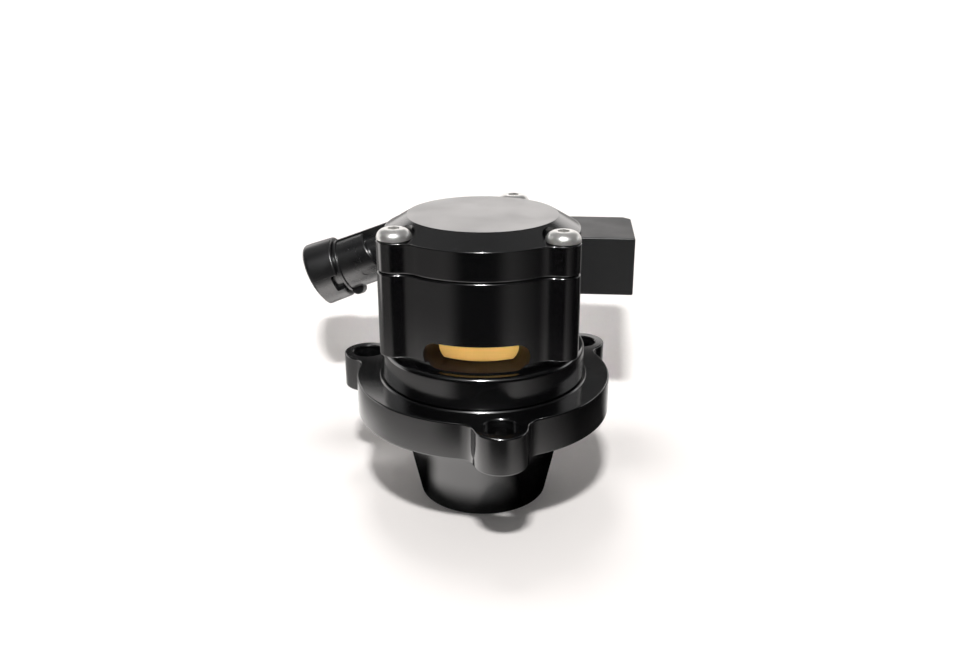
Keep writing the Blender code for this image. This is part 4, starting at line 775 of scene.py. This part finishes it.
deselect()
bpy.ops.mesh.primitive_plane_add(size=1, location=AXIS)
floor = bpy.context.object
floor.name = "studio_paper"
floor.scale = (2 * PAPER_REACH, PAPER_REACH + SWEEP_START, 1)
floor.location.y += (SWEEP_START - PAPER_REACH) / 2
bpy.ops.object.transform_apply(location=True, rotation=True, scale=True)
bpy.ops.object.mode_set(mode="EDIT")
bpy.ops.mesh.select_mode(type="EDGE")
bpy.ops.mesh.select_all(action="DESELECT")
bpy.ops.object.mode_set(mode="OBJECT")
back = AXIS.y + SWEEP_START
for edge in floor.data.edges:
    edge.select = all(floor.data.vertices[i].co.y > back - 1e-5 for i in edge.vertices)
bpy.ops.object.mode_set(mode="EDIT")
for step in range(SWEEP_STEPS):
    slope = SWEEP_SLOPE * (step + 0.5) / SWEEP_STEPS
    run = SWEEP_RADIUS * SWEEP_SLOPE / SWEEP_STEPS
    rise = (0, run * math.cos(slope), run * math.sin(slope))
    bpy.ops.mesh.extrude_region_move(TRANSFORM_OT_translate={"value": rise})
rise = (0, PAPER_REACH * math.cos(SWEEP_SLOPE), PAPER_REACH * math.sin(SWEEP_SLOPE))
bpy.ops.mesh.extrude_region_move(TRANSFORM_OT_translate={"value": rise})
bpy.ops.object.mode_set(mode="OBJECT")

paper = bpy.data.materials.new("white_paper")
paper.use_nodes = True
nodes = paper.node_tree.nodes
links = paper.node_tree.links
nodes.remove(nodes["Principled BSDF"])


def math_node(operation, first, second=None):
    """A Math node whose inputs are numbers or other nodes' outputs."""
    node = nodes.new("ShaderNodeMath")
    node.operation = operation
    for socket, value in zip(node.inputs, (first, second)):
        if isinstance(value, (int, float)):
            socket.default_value = value
        elif value is not None:
            links.new(value, socket)
    return node.outputs["Value"]


def ramp(value, start, end, low, high):
    """A smooth step from low to high as the value goes from start to end."""
    node = nodes.new("ShaderNodeMapRange")
    node.interpolation_type = "SMOOTHSTEP"
    links.new(value, node.inputs["Value"])
    for name, number in (("From Min", start), ("From Max", end), ("To Min", low), ("To Max", high)):
        node.inputs[name].default_value = number
    return node.outputs["Result"]


# The paper is white to the camera a little way off. In the gloss of the metal its colour is painted darker.
# It falls off with distance, is darkest straight ahead where the camera stands and in a band to the right,
# as painted reflections of an unlit room in front, and next to the spigot's foot it carries a painted
# shadow with a painted lit patch to the front left. In gloss it also has a painted glow.
place = nodes.new("ShaderNodeTexCoord")
from_axis = nodes.new("ShaderNodeVectorMath")
from_axis.operation = "SUBTRACT"
from_axis.inputs[1].default_value = AXIS
links.new(place.outputs["Object"], from_axis.inputs[0])
parts = nodes.new("ShaderNodeSeparateXYZ")
links.new(from_axis.outputs["Vector"], parts.inputs["Vector"])
length = nodes.new("ShaderNodeVectorMath")
length.operation = "LENGTH"
links.new(from_axis.outputs["Vector"], length.inputs[0])
distance = length.outputs["Value"]
ahead = math_node("MULTIPLY", parts.outputs["Y"], -1.0)
bearing = math_node("ARCTAN2", parts.outputs["X"], ahead)
off_centre = math_node("ABSOLUTE", math_node("ADD", bearing, math.radians(4)))
in_front = ramp(ahead, -0.02, 0.03, 0.0, 1.0)
falling = math_node("MULTIPLY", ramp(distance, 0.040, 0.110, 1.0, 0.22),
                    ramp(distance, 0.120, 0.200, 1.0, 0.35))
behind = math_node("MAXIMUM", ramp(distance, 0.065, 0.110, 1.0, 0.22),
                   ramp(distance, 0.180, 0.260, 0.0, 1.0))
falling = math_node("ADD", math_node("MULTIPLY", falling, in_front),
                    math_node("MULTIPLY", behind, math_node("SUBTRACT", 1.0, in_front)))
# Painted dark wedge straight ahead and painted dark band to the right, seen in gloss only.
wedge = ramp(off_centre, math.radians(16), math.radians(38), 1.0, 0.0)
painted_dark_wedge = math_node("MULTIPLY", math_node("MULTIPLY", wedge, ramp(distance, 0.088, 0.110, 0.0, 0.97)),
                 in_front)
right = math_node("MAXIMUM", ramp(bearing, math.radians(10), math.radians(80), 1.0, 0.03),
                  ramp(bearing, math.radians(112), math.radians(140), 0.0, 1.0))
far = math_node("MULTIPLY", math_node("MULTIPLY", falling, math_node("SUBTRACT", 1.0, painted_dark_wedge)), right)
# Painted shadow on the paper next to the spigot's foot, with a painted lit patch to the front left, seen in
# gloss only.
lit_foot = math_node("MULTIPLY", ramp(bearing, math.radians(-76), math.radians(-52), 0.0, 1.0),
                     ramp(bearing, math.radians(-12), math.radians(42), 1.0, 0.0))
painted_foot_light_and_shade = math_node("MULTIPLY", lit_foot, ramp(distance, 0.021, 0.029, 0.05, 0.9))
under = ramp(distance, 0.034, 0.042, 1.0, 0.0)
painted_gloss_level = math_node("ADD", math_node("MULTIPLY", painted_foot_light_and_shade, under),
                 math_node("MULTIPLY", far, math_node("SUBTRACT", 1.0, under)))
rays = nodes.new("ShaderNodeLightPath")
in_gloss = rays.outputs["Is Glossy Ray"]
# Only gloss rays see the paper's colour darkened by these painted levels: painted reflection and painted
# shadow.
shade = math_node("SUBTRACT", 1.0, math_node("MULTIPLY", in_gloss, math_node("SUBTRACT", 1.0, painted_gloss_level)))
colour = nodes.new("ShaderNodeMix")
colour.data_type = "RGBA"
colour.inputs["A"].default_value = (0, 0, 0, 1)
colour.inputs["B"].default_value = (0.95, 0.91, 0.885, 1)
links.new(shade, colour.inputs["Factor"])
diffuse = nodes.new("ShaderNodeBsdfDiffuse")
links.new(colour.outputs[2], diffuse.inputs["Color"])
camera_glow = math_node("MULTIPLY", rays.outputs["Is Camera Ray"], ramp(distance, 0.10, 0.50, 0.03, 1.0))
# In gloss the paper also glows by the same painted level: painted reflected light.
painted_gloss_glow = math_node("MULTIPLY", math_node("MULTIPLY", in_gloss, 0.45), painted_gloss_level)
glow = nodes.new("ShaderNodeEmission")
links.new(math_node("ADD", camera_glow, painted_gloss_glow), glow.inputs["Strength"])
both = nodes.new("ShaderNodeAddShader")
links.new(diffuse.outputs["BSDF"], both.inputs[0])
links.new(glow.outputs["Emission"], both.inputs[1])
links.new(both.outputs["Shader"], nodes["Material Output"].inputs["Surface"])
floor.data.materials.append(paper)

# The air is white to the camera. In gloss it has a pale wall behind the valve and a dim ceiling, and the
# rest of the light from it is faint.
world = bpy.data.worlds.new("studio_air")
bpy.context.scene.world = world
world.use_nodes = True
nodes = world.node_tree.nodes
links = world.node_tree.links
rays = nodes.new("ShaderNodeLightPath")
place = nodes.new("ShaderNodeTexCoord")
parts = nodes.new("ShaderNodeSeparateXYZ")
links.new(place.outputs["Generated"], parts.inputs["Vector"])
back_wall = math_node("MULTIPLY", ramp(parts.outputs["Z"], 0.32, 0.50, 1.4, 0.12),
                      ramp(parts.outputs["Y"], 0.0, 0.3, 0.0, 1.0))
ceiling = math_node("MULTIPLY", ramp(parts.outputs["Z"], 0.62, 0.75, 0.0, 0.30),
                    ramp(parts.outputs["Y"], -0.45, -0.25, 1.0, 0.10))
lit = math_node("MULTIPLY", rays.outputs["Is Glossy Ray"], math_node("ADD", back_wall, ceiling))
ambient = ramp(parts.outputs["Y"], -0.6, 0.5, 0.05, 0.42)
plain = math_node("MULTIPLY", math_node("SUBTRACT", 1.0, rays.outputs["Is Glossy Ray"]), ambient)
unseen = math_node("MULTIPLY", math_node("ADD", lit, plain),
                   math_node("SUBTRACT", 1.0, rays.outputs["Is Camera Ray"]))
links.new(math_node("ADD", unseen, rays.outputs["Is Camera Ray"]), nodes["Background"].inputs["Strength"])
nodes["Background"].inputs["Color"].default_value = (1, 1, 1, 1)

area_light("flash", AXIS + Vector((-0.03, -0.55, 0.86)), AXIS + Vector((0, 0, 0.04)), (0.10, 0.05), 8)
fill = area_light("fill", AXIS + Vector((0.01, -0.60, 0.27)), AXIS + Vector((0, 0, 0.053)), (0.04, 0.04),
                  0.0135)
fill.data.spread = math.radians(8)
fill.visible_glossy = False
overhead = area_light("overhead", AXIS + Vector((-0.10, 0.35, 0.95)), AXIS, (0.30, 0.30), 3.2)
overhead.visible_glossy = False

lens = bpy.data.cameras.new("camera")
lens.lens = CAMERA_LENS
lens.sensor_width = 36.0
camera = bpy.data.objects.new("camera", lens)
camera.location = AXIS + CAMERA_FROM_AXIS
camera.rotation_euler = (CAMERA_PITCH, 0, 0)
bpy.context.scene.collection.objects.link(camera)
bpy.context.scene.camera = camera
bpy.context.scene.view_settings.view_transform = "Standard"
